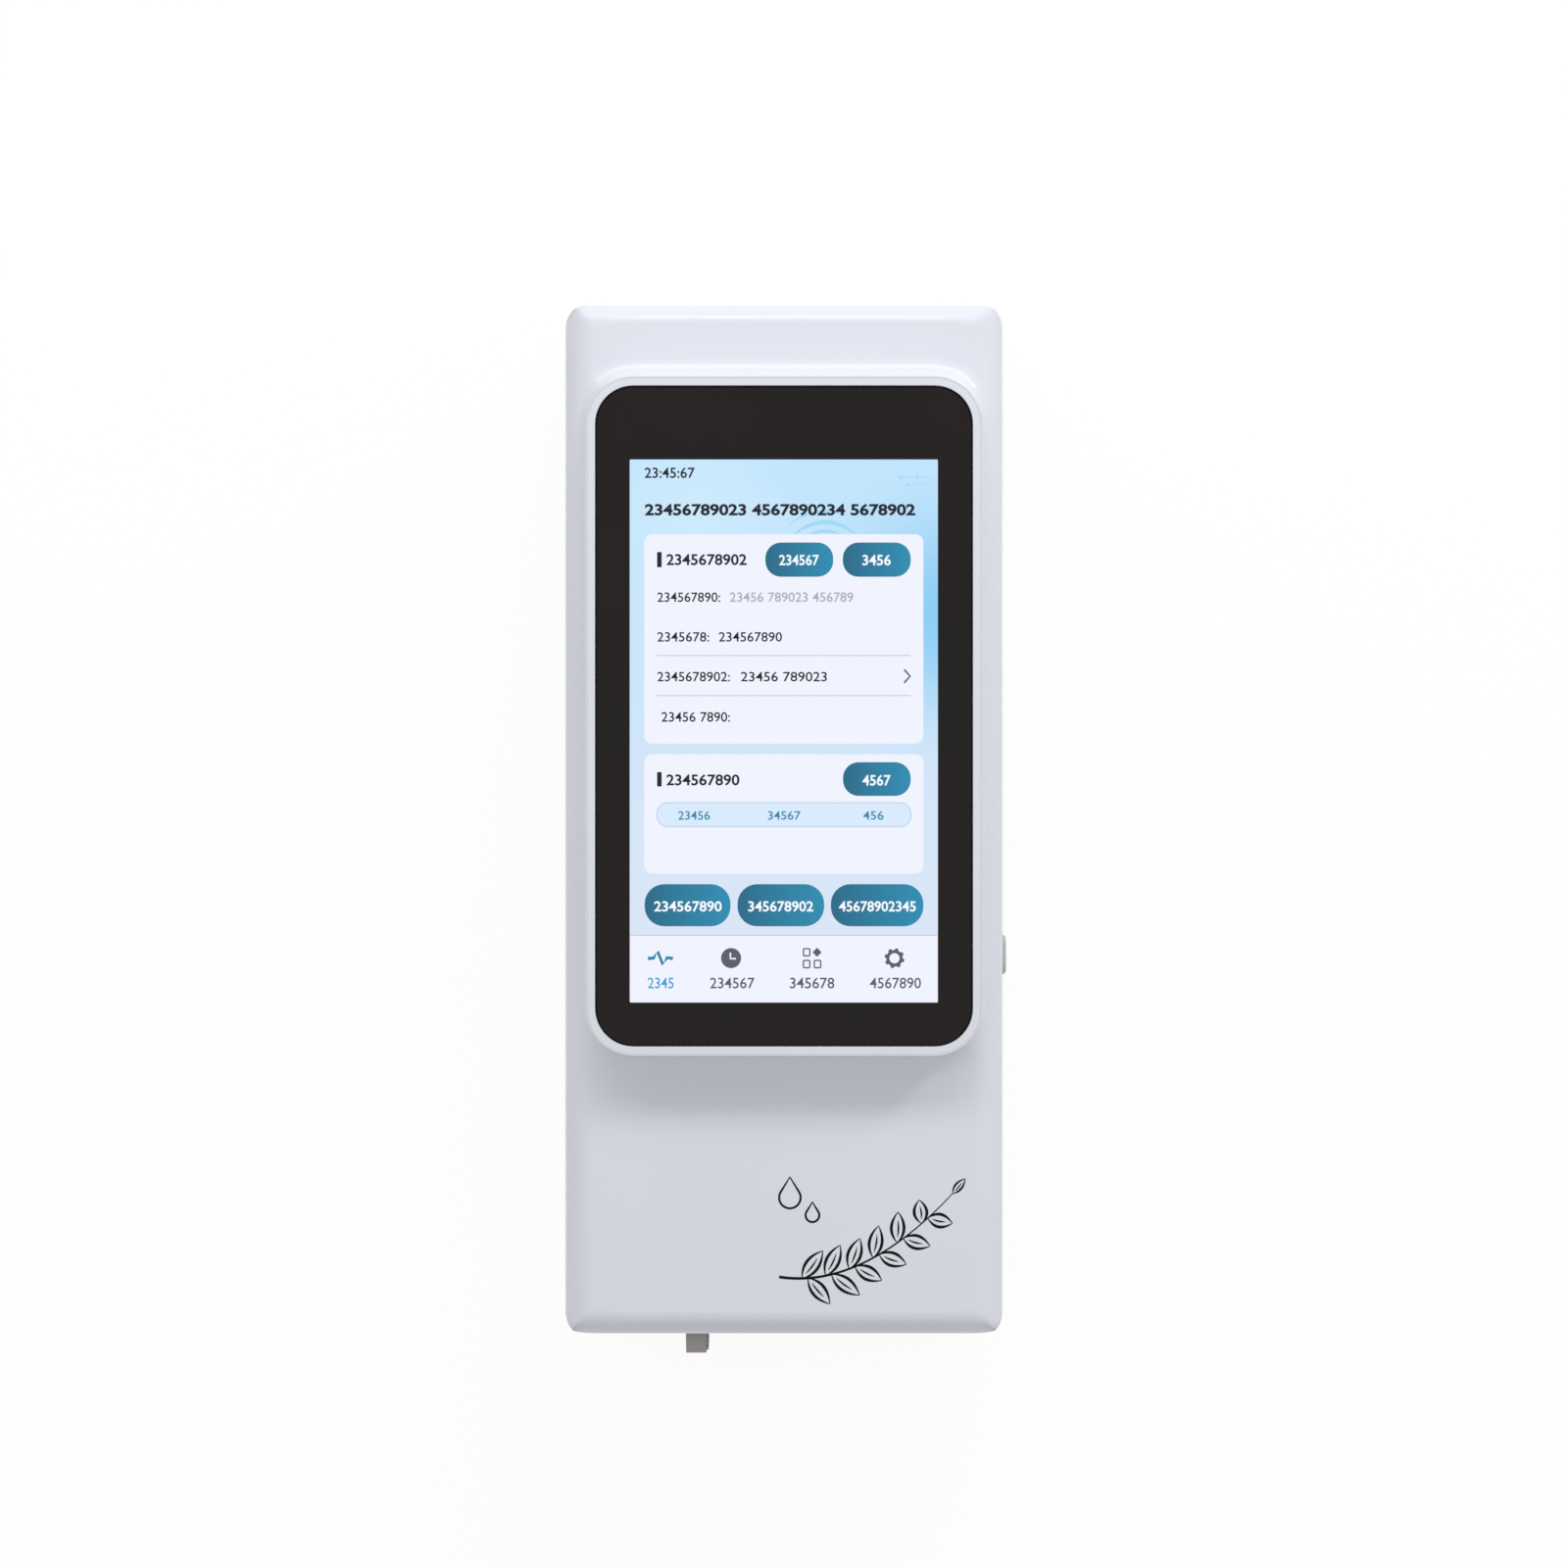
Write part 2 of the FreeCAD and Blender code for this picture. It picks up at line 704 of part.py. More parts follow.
def front_shell():
    outer = with_platform(above(body_block(0), seam_z))
    loft = slab((loft_width, loft_length), platform_r - platform_wall, (0, platform_y),
                (ceiling_z - wall, lcd_z))
    recess = slab((glass_width + 2 * glass_gap, glass_length + 2 * glass_gap), glass_corner_r + glass_gap,
                  (0, platform_y), (ledge_top_z, rim_z + past))
    shell = outer.cut([body_block(wall), loft, recess, display_window()])
    inner = pillars((seam_z, ceiling_z + step_back)) + button_ribs() + deck_ribs() + frame_clips()
    shell = joined([shell] + [piece.common(outer) for piece in inner])

    pilot_zs = (seam_z - past, seam_z + shell_screw_bite + pilot_spare)
    holes = [post(shell_screw_r + bore_play, x, y, pilot_zs) for x, y in corner_places()]
    holes.append(stadium_x(button_length + 2 * button_play, button_height + 2 * button_play,
                           (half_width - 2 * wall, half_width + past)))
    holes.append(usb_outline(usb_slot_play, (half_length - 2 * wall, half_length + past)))
    lip_top = seam_z + seam_lip + 2 * seam_play
    holes.append(seam_ring(wall - seam_lip_thick - seam_play, wall + past, (seam_z - past, lip_top)))
    holes.append(seam_ring(-past, seam_groove, (seam_z - past, seam_z + seam_groove)))
    return without(shell, holes)


def back_shell():
    shell = below(body_block(0), seam_z).cut(body_block(wall))
    pieces = pillars((floor_z - step_back, seam_z)) + cradle_ribs()
    pieces += [box(around(x, ear_boss / 2), around(y, ear_boss / 2), (floor_z - step_back, bench_z))
               for x, y in ear_places()]
    pieces.append(seam_ring(wall - seam_lip_thick, wall, (seam_z - step_back, seam_z + seam_lip)))
    shell = joined([shell] + pieces)

    cuts = [post(counterbore_r, x, y, (base_z - past, shell_seat_z)) for x, y in corner_places()]
    cuts += [post(shell_screw_r + clearance_play, x, y, (base_z, seam_z + past))
             for x, y in corner_places()]
    cuts += [post(small_screw_r + bore_play, x, y, (bench_z - ear_screw_bite, bench_z + past))
             for x, y in bench_screw_places()]
    opening_zs = (tray_front_z - tray_front_gap, tray_front_z + tray_front_height + tray_front_gap)
    cuts.append(box(around(tray_x, tray_front_half + tray_front_gap),
                    (low_end - past, low_end + 2 * wall), opening_zs))
    return without(shell, cuts)


def cradle_ribs():
    """Two cross ribs that keep the battery from sliding."""
    xs = around(battery_x, cell_pitch / 2 + cell_r * cradle_overlap)
    zs = (floor_z - step_back, floor_z + cradle_height)
    low = battery_low - cradle_gap
    high = battery_high + cradle_gap
    return [box(xs, (low - cradle_thick, low), zs), box(xs, (high, high + cradle_thick), zs)]


def rubber_feet():
    """Four stick-on pads with clipped corners."""
    pad = block((0, 0), (foot_width, foot_length, foot_proud), 0)
    pad = pad.makeChamfer(foot_corner, edges_where(pad, lambda b: b.ZLength > foot_proud / 2))
    x = half_width - foot_inset_x
    y = half_length - foot_inset_y
    return Part.makeCompound([pad.translated(Vector(sx * x, sy * y, 0))
                              for sx in (-1, 1) for sy in (-1, 1)])


def shell_screws():
    """Hexagon-headed screws, driven up through the back shell's pillars."""
    screw = hex_screw(shell_screw_r, shell_head_width, shell_head_height, shell_seat + shell_screw_bite)
    return set_screws(screw, [(x, y, shell_seat_z) for x, y in corner_places()])


# ---------------------------------------------------------------- screen stack
def display_window():
    half = (lcd_width / 2 + lcd_play, lcd_length / 2 + lcd_play)
    return box(around(0, half[0]), around(lcd_y, half[1]), (lcd_z - past, glass_z + past))


def cover_glass():
    top = glass_z + glass_thick
    glass = slab((glass_width, glass_length), glass_corner_r, (0, platform_y), (glass_z, top))
    return glass.makeChamfer(glass_edge, edges_where(glass, lambda b: b.ZMin > top - near))


def screen_gasket():
    outer = slab((glass_width - 2 * gasket_inset, glass_length - 2 * gasket_inset),
                 glass_corner_r - gasket_inset, (0, platform_y), (ledge_top_z, glass_z))
    return outer.cut(display_window())


def lcd_module():
    return block((0, lcd_y), (lcd_width, lcd_length, lcd_thick), lcd_z)


def standoff_places():
    return [(side * standoff_x, y) for side in (-1, 1) for y in standoff_ys]


def board_screw_places():
    """Screws in two opposite standoffs; the other two only bear on the board."""
    places = standoff_places()
    return [places[0], places[3]]


def display_frame():
    """Pressed steel plate with lightening windows, a slot for the flex and four standoffs."""
    plate = block((0, platform_y), (frame_width, frame_length, frame_thick), frame_z)
    plate = plate.makeChamfer(platform_r - platform_wall,
                              edges_where(plate, lambda b: b.ZLength > frame_thick / 2))
    cuts = [block((side * frame_window_x, lcd_y + dy), frame_window + (2 * wall,), frame_z - wall)
            for side in (-1, 1) for dy in (frame_window_low, frame_window_high)]
    cuts.append(box(around(0, flex_width / 2 + flex_slot_play),
                    (flex_y - flex_tail - flex_grip, flex_drop_y + flex_slot_play),
                    (frame_z - past, lcd_z + past)))
    standoffs = [hexagon(standoff_width, x, y, (board_top_z, frame_z)) for x, y in standoff_places()]
    bore_zs = (board_z, board_top_z + board_screw_bite + small_screw_spare)
    cuts += [post(small_screw_r + bore_play, x, y, bore_zs) for x, y in board_screw_places()]
    return without(joined([plate] + standoffs), cuts)


def board_screws():
    return set_screws(small_screw(board_thick + board_screw_bite),
                      [(x, y, board_z) for x, y in board_screw_places()])


def display_flex():
    """Flat cable from the back of the display through the frame and along to its socket."""
    high_z = lcd_z - flex_thick / 2
    corners = [(flex_y - flex_tail, high_z), (flex_drop_y, high_z),
               (flex_drop_y, flex_z), (socket_low + flex_socket[1] / 2, flex_z)]
    return strip_along(corners, [flex_bend_r] * 2, (flex_width, flex_thick), 0)


# ---------------------------------------------------------------- boards and connectors
def main_board():
    neck_y = board_high - board_neck_length
    board = joined([box(around(0, board_width / 2), (board_low, neck_y), (board_z, board_top_z)),
                    box(around(0, board_neck_width / 2), (board_low, board_high), (board_z, board_top_z))])
    return without(board, [post(small_screw_r + clearance_play, x, y, (board_z - past, board_top_z + past))
                           for x, y in board_screw_places()])


def shield_can():
    return block(can_centre, can_size, board_top_z)


def board_chips():
    """Memory, power and radio packages above the board, two drivers below it."""
    x = chip_column_x
    can_x, can_y = can_centre
    above_board = [((x, can_y + can_size[1] / 4), memory_chip), ((x, can_y - can_size[1] / 2), power_chip),
                   ((can_x, radio_y), radio_module)]
    below_board = [(can_centre, memory_chip), ((x, can_y), power_chip)]
    chips = [block(centre, size + (chip_height,), board_top_z) for centre, size in above_board]
    chips += [block(centre, size + (chip_height,), board_z - chip_height) for centre, size in below_board]
    return Part.makeCompound(chips)


def display_socket():
    body = block((0, socket_low + flex_socket[1] / 2), flex_socket, board_top_z)
    mouth = box(around(0, flex_width / 2 + flex_grip),
                (socket_low - past, socket_low + flex_socket[1] / 2 + flex_grip),
                (flex_z - flex_thick - flex_grip, flex_z + flex_thick + flex_grip))
    return body.cut(mouth)


def usb_outline(grow, ys):
    """The inlet's round-ended outline, larger by grow all round, between two Y limits."""
    return upright_plate(around(0, usb_width / 2 + grow), around(usb_z, usb_height / 2 + grow),
                         usb_height / 2 + grow - near, ys)


def usb_port():
    back = usb_high - usb_depth
    mouth = usb_outline(-usb_wall, (back + 1.5 * usb_wall, usb_high + past))
    middle = around(0, usb_width / 2 - usb_tongue_inset)
    tongue = box(middle, (back + usb_wall, usb_high - usb_tongue_inset),
                 around(usb_z, usb_tongue_thick / 2))
    seat = box(middle, (back, board_high - step_back), (usb_z + usb_height / 2 - usb_wall / 2, board_z))
    return joined([usb_outline(0, (back, usb_high)).cut(mouth), tongue, seat])


def buzzer():
    return block((buzzer_x, board_high - buzzer_from_high), buzzer_size, board_z - buzzer_size[2])


# ---------------------------------------------------------------- power button
def stadium_x(length, height, xs):
    """Round-ended bar at the button, between two X limits."""
    return side_plate(around(button_y, length / 2), around(button_z, height / 2), height / 2 - near, xs)


def power_button():
    face_x = half_width + button_proud
    cap = stadium_x(button_length, button_height, (button_flange_x - button_flange_gap, face_x))
    cap = cap.makeChamfer(button_edge, edges_where(cap, lambda b: b.XMin > face_x - near))
    flange = box((flange_back_x, button_flange_x), around(button_y, button_length / 2 + button_flange),
                 around(button_z, button_height / 2 + button_flange))
    return joined([cap, flange])


def switch_plunger():
    return box((switch_x - plunger_sunk, flange_back_x), around(button_y, plunger_half),
               around(button_z, plunger_half))


def tact_switch():
    half = switch_size / 2
    body = box((board_face_x, switch_x), around(button_y, half), around(button_z, half))
    bore = box((switch_x - plunger_sunk - plunger_end_room, switch_x + past),
               around(button_y, plunger_half + plunger_play), around(button_z, plunger_half + plunger_play))
    return body.cut(bore)


def button_board():
    return box((button_board_x, board_face_x), around(button_y, button_board_width / 2),
               around(button_z, button_board_height / 2))


# ---------------------------------------------------------------- battery
def battery_pack():
    """Two round cells side by side in one sleeve."""
    ys = (battery_low, battery_high)
    cells = [bar(cell_r, battery_x + side * cell_pitch / 2, battery_z, ys) for side in (-1, 1)]
    middle = box(around(battery_x, cell_pitch / 2), ys, around(battery_z, cell_r))
    return joined(cells + [middle])


def battery_foam():
    return block((battery_x, (battery_low + battery_high) / 2),
                 (cell_pitch, battery_length - 2 * foam_inset, battery_pad), floor_z)


def plug_block(grow, low):
    return box(around(battery_x, plug[0] / 2 + grow), (low, plug_high + grow),
               around(header_z, plug[2] / 2 + grow))


def battery_header():
    body = box(around(battery_x, header[0] / 2), (header_low, header_low + header[1]),
               (board_z - header[2], board_z))
    return body.cut(plug_block(plug_play, header_low - past))


def battery_plug():
    return plug_block(0, plug_low)


def battery_lead():
    """Flat twin lead from the plug, down behind the battery and in at its end."""
    drop = plug_low - lead_run
    corners = [(plug_low, header_z), (drop, header_z), (drop, battery_z), (battery_high, battery_z)]
    bends = [lead_bend * lead_run, lead_bend * (drop - battery_high)]
    return strip_along(corners, bends, (lead_width, lead_thick), battery_x)


# ---------------------------------------------------------------- test drawer
def card_tray():
    """Drawer with a pocket for the cassette, and a guided tail with two lightening bays."""
    body = box(around(tray_x, tray_half), (tray_low, tray_high), (tray_z, tray_top_z))

    def is_tail_corner(b):
        return b.YMin > tray_high - near and b.ZLength > tray_floor
    body = body.makeChamfer(tray_tail_corner, edges_where(body, is_tail_corner))
    above_pocket = (pocket_z, tray_top_z + past)
    cuts = [box(around(tray_x, pocket_half), (pocket_low, pocket_high), above_pocket),
            box(around(tray_x, push_hole[0] / 2), around(pocket_y, push_hole[1] / 2),
                (tray_z - past, pocket_z + past)),
            block((tray_x, tray_high), (magnet[0], 2 * magnet[1], magnet[2]), magnet_z)]
    cuts += [bar(thumb_r, tray_x + side * pocket_half, tray_top_z + thumb_lift,
                 around(pocket_y, thumb_length / 2)) for side in (-1, 1)]
    solid_end = magnet[1] + tail_web
    bay = (tray_tail - solid_end - tail_bays * tail_web) / tail_bays
    for k in range(tail_bays):
        low = pocket_high + tail_web + k * (bay + tail_web)
        cuts.append(box(around(tray_x, pocket_half), (low, low + bay), above_pocket))
    flag = box(around(flag_x, flag_thick / 2), (tray_high - tail_web, tray_high + tray_flag_reach),
               (pocket_z, pocket_z + flag_height))
    return joined([without(body, cuts), flag])


def tray_magnet():
    return block((tray_x, tray_high - magnet[1] / 2), magnet, magnet_z)


def tray_front():
    zs = (tray_front_z, tray_front_z + tray_front_height)
    plate = box(around(tray_x, tray_front_half), (low_end, tray_low), zs)
    plate = plate.makeChamfer(tray_front_edge, edges_where(plate, lambda b: b.YMax < low_end + near))
    return plate.cut(box(around(tray_x, tab_root / 2), (low_end - past, tray_low + past),
                         (tab_z, tab_z + tab_height)))


def tray_tab():
    """Finger tab: a tapered fin with grip ribs down both flanks, its root through the front."""
    half_root = tab_root / 2
    half_tip = tab_tip / 2
    corners = [(-half_root, tray_low), (half_root, tray_low), (half_root, low_end), (half_tip, tab_tip_y),
               (-half_tip, tab_tip_y), (-half_root, low_end)]
    points = [Vector(tray_x + u, v, tab_z) for u, v in corners + corners[:1]]
    fin = Part.Face(Part.makePolygon(points)).extrude(Vector(0, 0, tab_height))
    fin = fin.makeChamfer(tab_edge, edges_where(fin, lambda b: b.YMax < tab_tip_y + near))
    ribs = []
    for k in range(tab_ribs):
        y = low_end - tab_rib_first - k * tab_rib_pitch
        reach = half_root + (half_tip - half_root) * (low_end - y) / tab_reach + tab_rib_height
        ribs.append(box(around(tray_x, reach), around(y, tab_rib_width / 2),
                        (tab_z + tab_rib_inset, tab_z + tab_height - tab_rib_inset)))
    return joined([fin] + ribs)


# ---------------------------------------------------------------- scanning bench
def ear_places():
    return [(tray_x + side * (bench_out + ear_screw_out), y) for side in (-1, 1) for y in ear_ys]


def bench_screw_places():
    """Two opposite ears are screwed down; the other two only rest on their bosses."""
    places = ear_places()
    return [places[0], places[3]]


def scan_bench():
    """Moulded bench: drawer channel with overhanging lips, two bulkheads, a rear stop and four ears."""
    whole = (bench_left, bench_right)
    pieces = [box(whole, (bench_low, bench_high), (bench_z, bench_floor_z)),
              box((bench_left, screw_x + bearing_half + bearing_wall), (bench_low, front_bulkhead_y),
                  (lip_z, bulkhead_top_z)),
              box(whole, (rear_bulkhead_y, motor_y), (lip_z, bulkhead_top_z)),
              square_bar(motor_half, screw_x, screw_z, (rear_bulkhead_y, motor_y)),
              box(around(screw_x, motor_half), (motor_y - step_back, motor_y + motor_shelf[0]),
                  (screw_z - motor_half - motor_shelf[1], screw_z - motor_half)),
              box(around(tray_x, stop_width / 2), (tray_high + stop_gap, bench_high),
                  (bench_floor_z - step_back, tray_top_z))]
    for side in (-1, 1):
        inner = tray_x + side * bench_in
        outer = tray_x + side * bench_out
        lip = inner - side * bench_lip
        pieces += [box(sorted((inner, outer)), (bench_low, bench_high), (bench_z, lip_top_z)),
                   box(sorted((inner, outer)), (bench_low, motor_y), (bench_z, bench_wall_z)),
                   box(sorted((lip, outer)), (bench_low, tray_high), (lip_z, lip_top_z))]
        ear_xs = sorted((outer - side * step_back, outer + side * ear_reach))
        pieces += [box(ear_xs, around(y, ear_length / 2), (bench_z, bench_floor_z)) for y in ear_ys]
    through = (bench_low - past, motor_y + past)
    window_ys = (rear_bulkhead_y - past, motor_y + past)
    cuts = [square_bar(rod_r, tray_x + side * rod_spread, rod_z, through) for side in (-1, 1)]
    cuts += [square_bar(bearing_half, screw_x, screw_z, (bench_low - past, front_bulkhead_y + past)),
             square_bar(screw_window, screw_x, screw_z, window_ys),
             block((tray_x, tray_high + stop_gap), (magnet[0], 2 * magnet[1], magnet[2]), magnet_z),
             box(around(gate_x, bulkhead_window[0] / 2), window_ys,
                 around(screw_z, bulkhead_window[1] / 2))]
    cuts += [post(small_screw_r + clearance_play, x, y, (bench_z - past, bench_floor_z + past))
             for x, y in bench_screw_places()]
    cuts += [block((tray_x, front_bulkhead_y + y), bench_bay + (2 * bench_thick,), bench_z - past)
             for y in bench_bay_ys]
    return without(joined(pieces), cuts)


def bench_screws():
    return set_screws(small_screw(bench_thick + ear_screw_bite - small_screw_spare),
                      [(x, y, bench_floor_z) for x, y in bench_screw_places()], Vector(0, 0, -1))


def guide_rods():
    return Part.makeCompound([bar(rod_r, tray_x + side * rod_spread, rod_z, (bench_low, motor_y))
                              for side in (-1, 1)])


def screw_bearing():
    body = square_bar(bearing_half, screw_x, screw_z, (bench_low, front_bulkhead_y))
    through = (bench_low - past, front_bulkhead_y + past)
    return body.cut(bar(screw_r + running_play, screw_x, screw_z, through))


def lead_screw():
    return bar(screw_r, screw_x, screw_z, (bench_low, motor_y + motor_shaft_depth))


def stepper_motor():
    """Square motor with clipped edges and a socket on its back."""
    can = square_bar(motor_half, screw_x, screw_z, (motor_y, motor_end_y))
    can = can.makeChamfer(motor_corner, edges_where(can, lambda b: b.YLength > motor_length / 2))
    socket = box(around(screw_x, motor_socket[0] / 2),
                 (motor_end_y - step_back, motor_end_y + motor_socket[1]),
                 around(screw_z, motor_socket[2] / 2))
    shaft = bar(screw_r + nut_play, screw_x, screw_z,
                (motor_y - past, motor_y + motor_shaft_depth + shaft_end_gap))
    return without(joined([can, socket]), [shaft])


def slotted_sensor(x, low, z):
    """Light gate: a block with a slot along Y, open upwards, for a passing flag."""
    ys = (low, low + sensor_size[1])
    body = box(around(x, sensor_size[0] / 2), ys, (z, z + sensor_size[2]))
    return body.cut(box(around(x, sensor_slot / 2), (ys[0] - past, ys[1] + past),
                        (z + sensor_base, z + sensor_size[2] + past)))


def home_sensor():
    return slotted_sensor(gate_x, front_bulkhead_y, gate_top_z - flag_height - flag_drop - sensor_base)


def tray_sensor():
    return slotted_sensor(flag_x, tray_high + sensor_gap, bench_floor_z)


def latch_magnet():
    return block((tray_x, tray_high + stop_gap + magnet[1] / 2), magnet, magnet_z)


# ---------------------------------------------------------------- scanning head
def optics_block():
    """Head body: crossing light paths, a slit below, a sleeve lug, an open fork and the nut's lug."""
    ys = (head_low, head_high)
    through = (head_low - past, head_high + past)
    body = box(around(tray_x, head_width / 2), ys, (head_z, head_top_z))
    body = body.makeChamfer(head_edge, edges_where(body, lambda b: b.YLength > head_length / 2
                                                   and b.ZMin > rod_z))
    lug_zs = around(rod_z, lug_half)
    solid = joined([body, box((tray_x - rod_spread - lug_half, tray_x), ys, lug_zs),
                    box((tray_x, screw_x + lug_half), ys, lug_zs),
                    box((tray_x, screw_x + nut_lug_half), ys, (rod_z, screw_z + nut_lug_half)),
                    box(around(gate_x, flag_thick / 2), (head_low - home_flag_reach, head_low + past),
                        (gate_top_z - flag_height, gate_top_z))])
    fork_end = tray_x - rod_spread
    cuts = [block((tray_x, head_y), (slit_length, slit_width, 2 * lens_floor), head_z - lens_floor / 2),
            post(lens_r + bore_play, tray_x, head_y, (lens_z, lens_z + lens_seat)),
            box(around(tray_x, beam_half), around(head_y, beam_half),
                (lens_z + lens_seat, head_top_z + past)),
            box((head_left - past, tray_x), around(head_y, led_path_half), around(beam_z, led_path_half)),
            square_bar(bush_half, screw_x, rod_z, through),
            box((fork_end - body_width, fork_end + rod_r + guide_slot_play), through,
                around(rod_z, rod_r + guide_slot_play)),
            square_bar(nut_half, screw_x, screw_z, (head_low - past, head_low + nut_length)),
            square_bar(screw_passage, screw_x, screw_z, through)]
    return without(solid, cuts)


def slide_bush():
    ys = (head_low, head_high)
    body = square_bar(bush_half, screw_x, rod_z, ys)
    return body.cut(bar(rod_r + running_play, screw_x, rod_z, (ys[0] - past, ys[1] + past)))


def lead_nut():
    ys = (head_low, head_low + nut_length)
    body = square_bar(nut_half, screw_x, screw_z, ys)
    return body.cut(bar(screw_r + nut_play, screw_x, screw_z, (ys[0] - past, ys[1] + past)))


def focus_lens():
    return post(lens_r, tray_x, head_y, (lens_z, lens_z + lens_thick))


def emission_filter():
    top = head_top_z - diode_size[2] - filter_gap
    return block((tray_x, head_y), (2 * beam_half, 2 * beam_half, filter_thick), top - filter_thick)


def dichroic_mirror():
    plate = Part.makeBox(mirror_length, 2 * beam_half, mirror_thick,
                         Vector(-mirror_length / 2, -beam_half, -mirror_thick / 2))
    plate.rotate(Vector(0, 0, 0), Vector(0, 1, 0), 45)
    return plate.translated(Vector(tray_x, head_y, beam_z))


def excitation_filter():
    low = head_left + led_chip[0] + filter_gap
    return box((low, low + filter_thick), around(head_y, led_path_half), around(beam_z, led_path_half))


def led_module():
    """Lamp board on the head's side, its emitter inside the light path."""
    back = head_left - led_board_thick
    board = box((back, head_left), around(head_y, led_board / 2), around(beam_z, led_board / 2))
    emitter = box((back, head_left + led_chip[0]), around(head_y, led_chip[1] / 2),
                  around(beam_z, led_chip[1] / 2))
    return joined([board, emitter])


def photodiode():
    return block((tray_x, head_y), diode_size, head_top_z - diode_size[2])


def detector_board():
    size = (head_width - 2 * head_edge, head_length - 2 * detector_margin, board_thick)
    board = block((tray_x, head_y), size, head_top_z)
    place = (tray_x + detector_socket_at[0], head_y + detector_socket_at[1])
    return joined([board, block(place, detector_socket, head_top_z + board_thick)])


PARTS = [front_shell, back_shell, rubber_feet, shell_screws, cover_glass, screen_gasket, lcd_module,
         display_frame, board_screws, display_flex, display_socket, main_board, shield_can, board_chips,
         usb_port, buzzer, power_button, switch_plunger, tact_switch, button_board, battery_pack,
         battery_foam, battery_header, battery_plug, battery_lead, card_tray, tray_magnet, tray_front,
         tray_tab, scan_bench, bench_screws, guide_rods, screw_bearing, lead_screw, stepper_motor,
         home_sensor, tray_sensor, latch_magnet, optics_block, slide_bush, lead_nut, focus_lens,
         emission_filter, dichroic_mirror, excitation_filter, led_module, photodiode, detector_board]

os.makedirs("parts", exist_ok=True)
for make in PARTS:
    make().exportStep(f"parts/{make.__name__}.step")
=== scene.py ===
"""Rapid test reader: materials, small pieces, camera and lights, in metres on the CAD frame."""
import json
import math
import random

import bmesh
import bpy
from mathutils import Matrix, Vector

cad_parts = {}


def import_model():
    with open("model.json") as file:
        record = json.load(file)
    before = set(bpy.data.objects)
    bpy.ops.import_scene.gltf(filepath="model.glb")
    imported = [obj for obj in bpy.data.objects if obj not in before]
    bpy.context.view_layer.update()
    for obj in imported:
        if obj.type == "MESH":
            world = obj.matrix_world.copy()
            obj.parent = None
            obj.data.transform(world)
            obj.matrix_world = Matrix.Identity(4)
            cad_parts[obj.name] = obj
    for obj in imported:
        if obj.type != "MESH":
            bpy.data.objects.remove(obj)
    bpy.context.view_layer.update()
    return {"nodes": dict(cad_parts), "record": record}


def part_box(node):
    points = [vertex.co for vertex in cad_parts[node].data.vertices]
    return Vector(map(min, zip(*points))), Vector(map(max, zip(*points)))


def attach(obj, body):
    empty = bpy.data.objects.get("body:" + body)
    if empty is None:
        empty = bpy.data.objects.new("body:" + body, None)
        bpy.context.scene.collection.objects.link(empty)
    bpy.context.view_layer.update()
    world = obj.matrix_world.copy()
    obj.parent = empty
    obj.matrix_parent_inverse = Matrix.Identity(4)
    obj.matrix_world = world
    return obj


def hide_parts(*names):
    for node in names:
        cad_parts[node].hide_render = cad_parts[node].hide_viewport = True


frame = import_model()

MM = 0.001


# ---------------------------------------------------------------- nodes
def lin(red, green, blue):
    """Scene-linear colour of an sRGB triple out of 255."""
    def channel(value):
        value /= 255
        return value / 12.92 if value <= 0.04045 else ((value + 0.055) / 1.055) ** 2.4
    return (channel(red), channel(green), channel(blue), 1.0)


def add(tree, kind, settings=None, **inputs):
    """A new shader node; inputs are socket names with _ for a space, and a socket as value is linked."""
    node = tree.nodes.new("ShaderNode" + kind)
    for key, value in (settings or {}).items():
        setattr(node, key, value)
    for key, value in inputs.items():
        socket = node.inputs[int(key[1:])] if key[1:].isdigit() else node.inputs[key.replace("_", " ")]
        if isinstance(value, bpy.types.NodeSocket):
            tree.links.new(value, socket)
        else:
            socket.default_value = value
    return node


def mixed(tree, factor, first, second):
    """Colour between first and second."""
    return add(tree, "Mix", {"data_type": "RGBA"}, _0=factor, _6=first, _7=second).outputs[2]


def spread(tree, value, low, high, start=0.3, end=0.7):
    """A 0 to 1 texture value mapped to the range low to high."""
    return add(tree, "MapRange", None, Value=value, From_Min=start, From_Max=end, To_Min=low,
               To_Max=high).outputs[0]


def place_on_object(tree, stretch=(1, 1, 1)):
    """Object coordinates, in metres."""
    where = add(tree, "TexCoord").outputs["Object"]
    return add(tree, "Mapping", None, Vector=where, Scale=stretch).outputs[0]


def noise(tree, where, scale, detail=2.0):
    """Cloudy 0 to 1 value, finer with a larger scale."""
    return add(tree, "TexNoise", None, Vector=where, Scale=scale, Detail=detail).outputs[0]


def new_material(name):
    """A material, its node tree and its shader."""
    material = bpy.data.materials.new(name)
    material.use_nodes = True
    return material, material.node_tree, material.node_tree.nodes["Principled BSDF"]


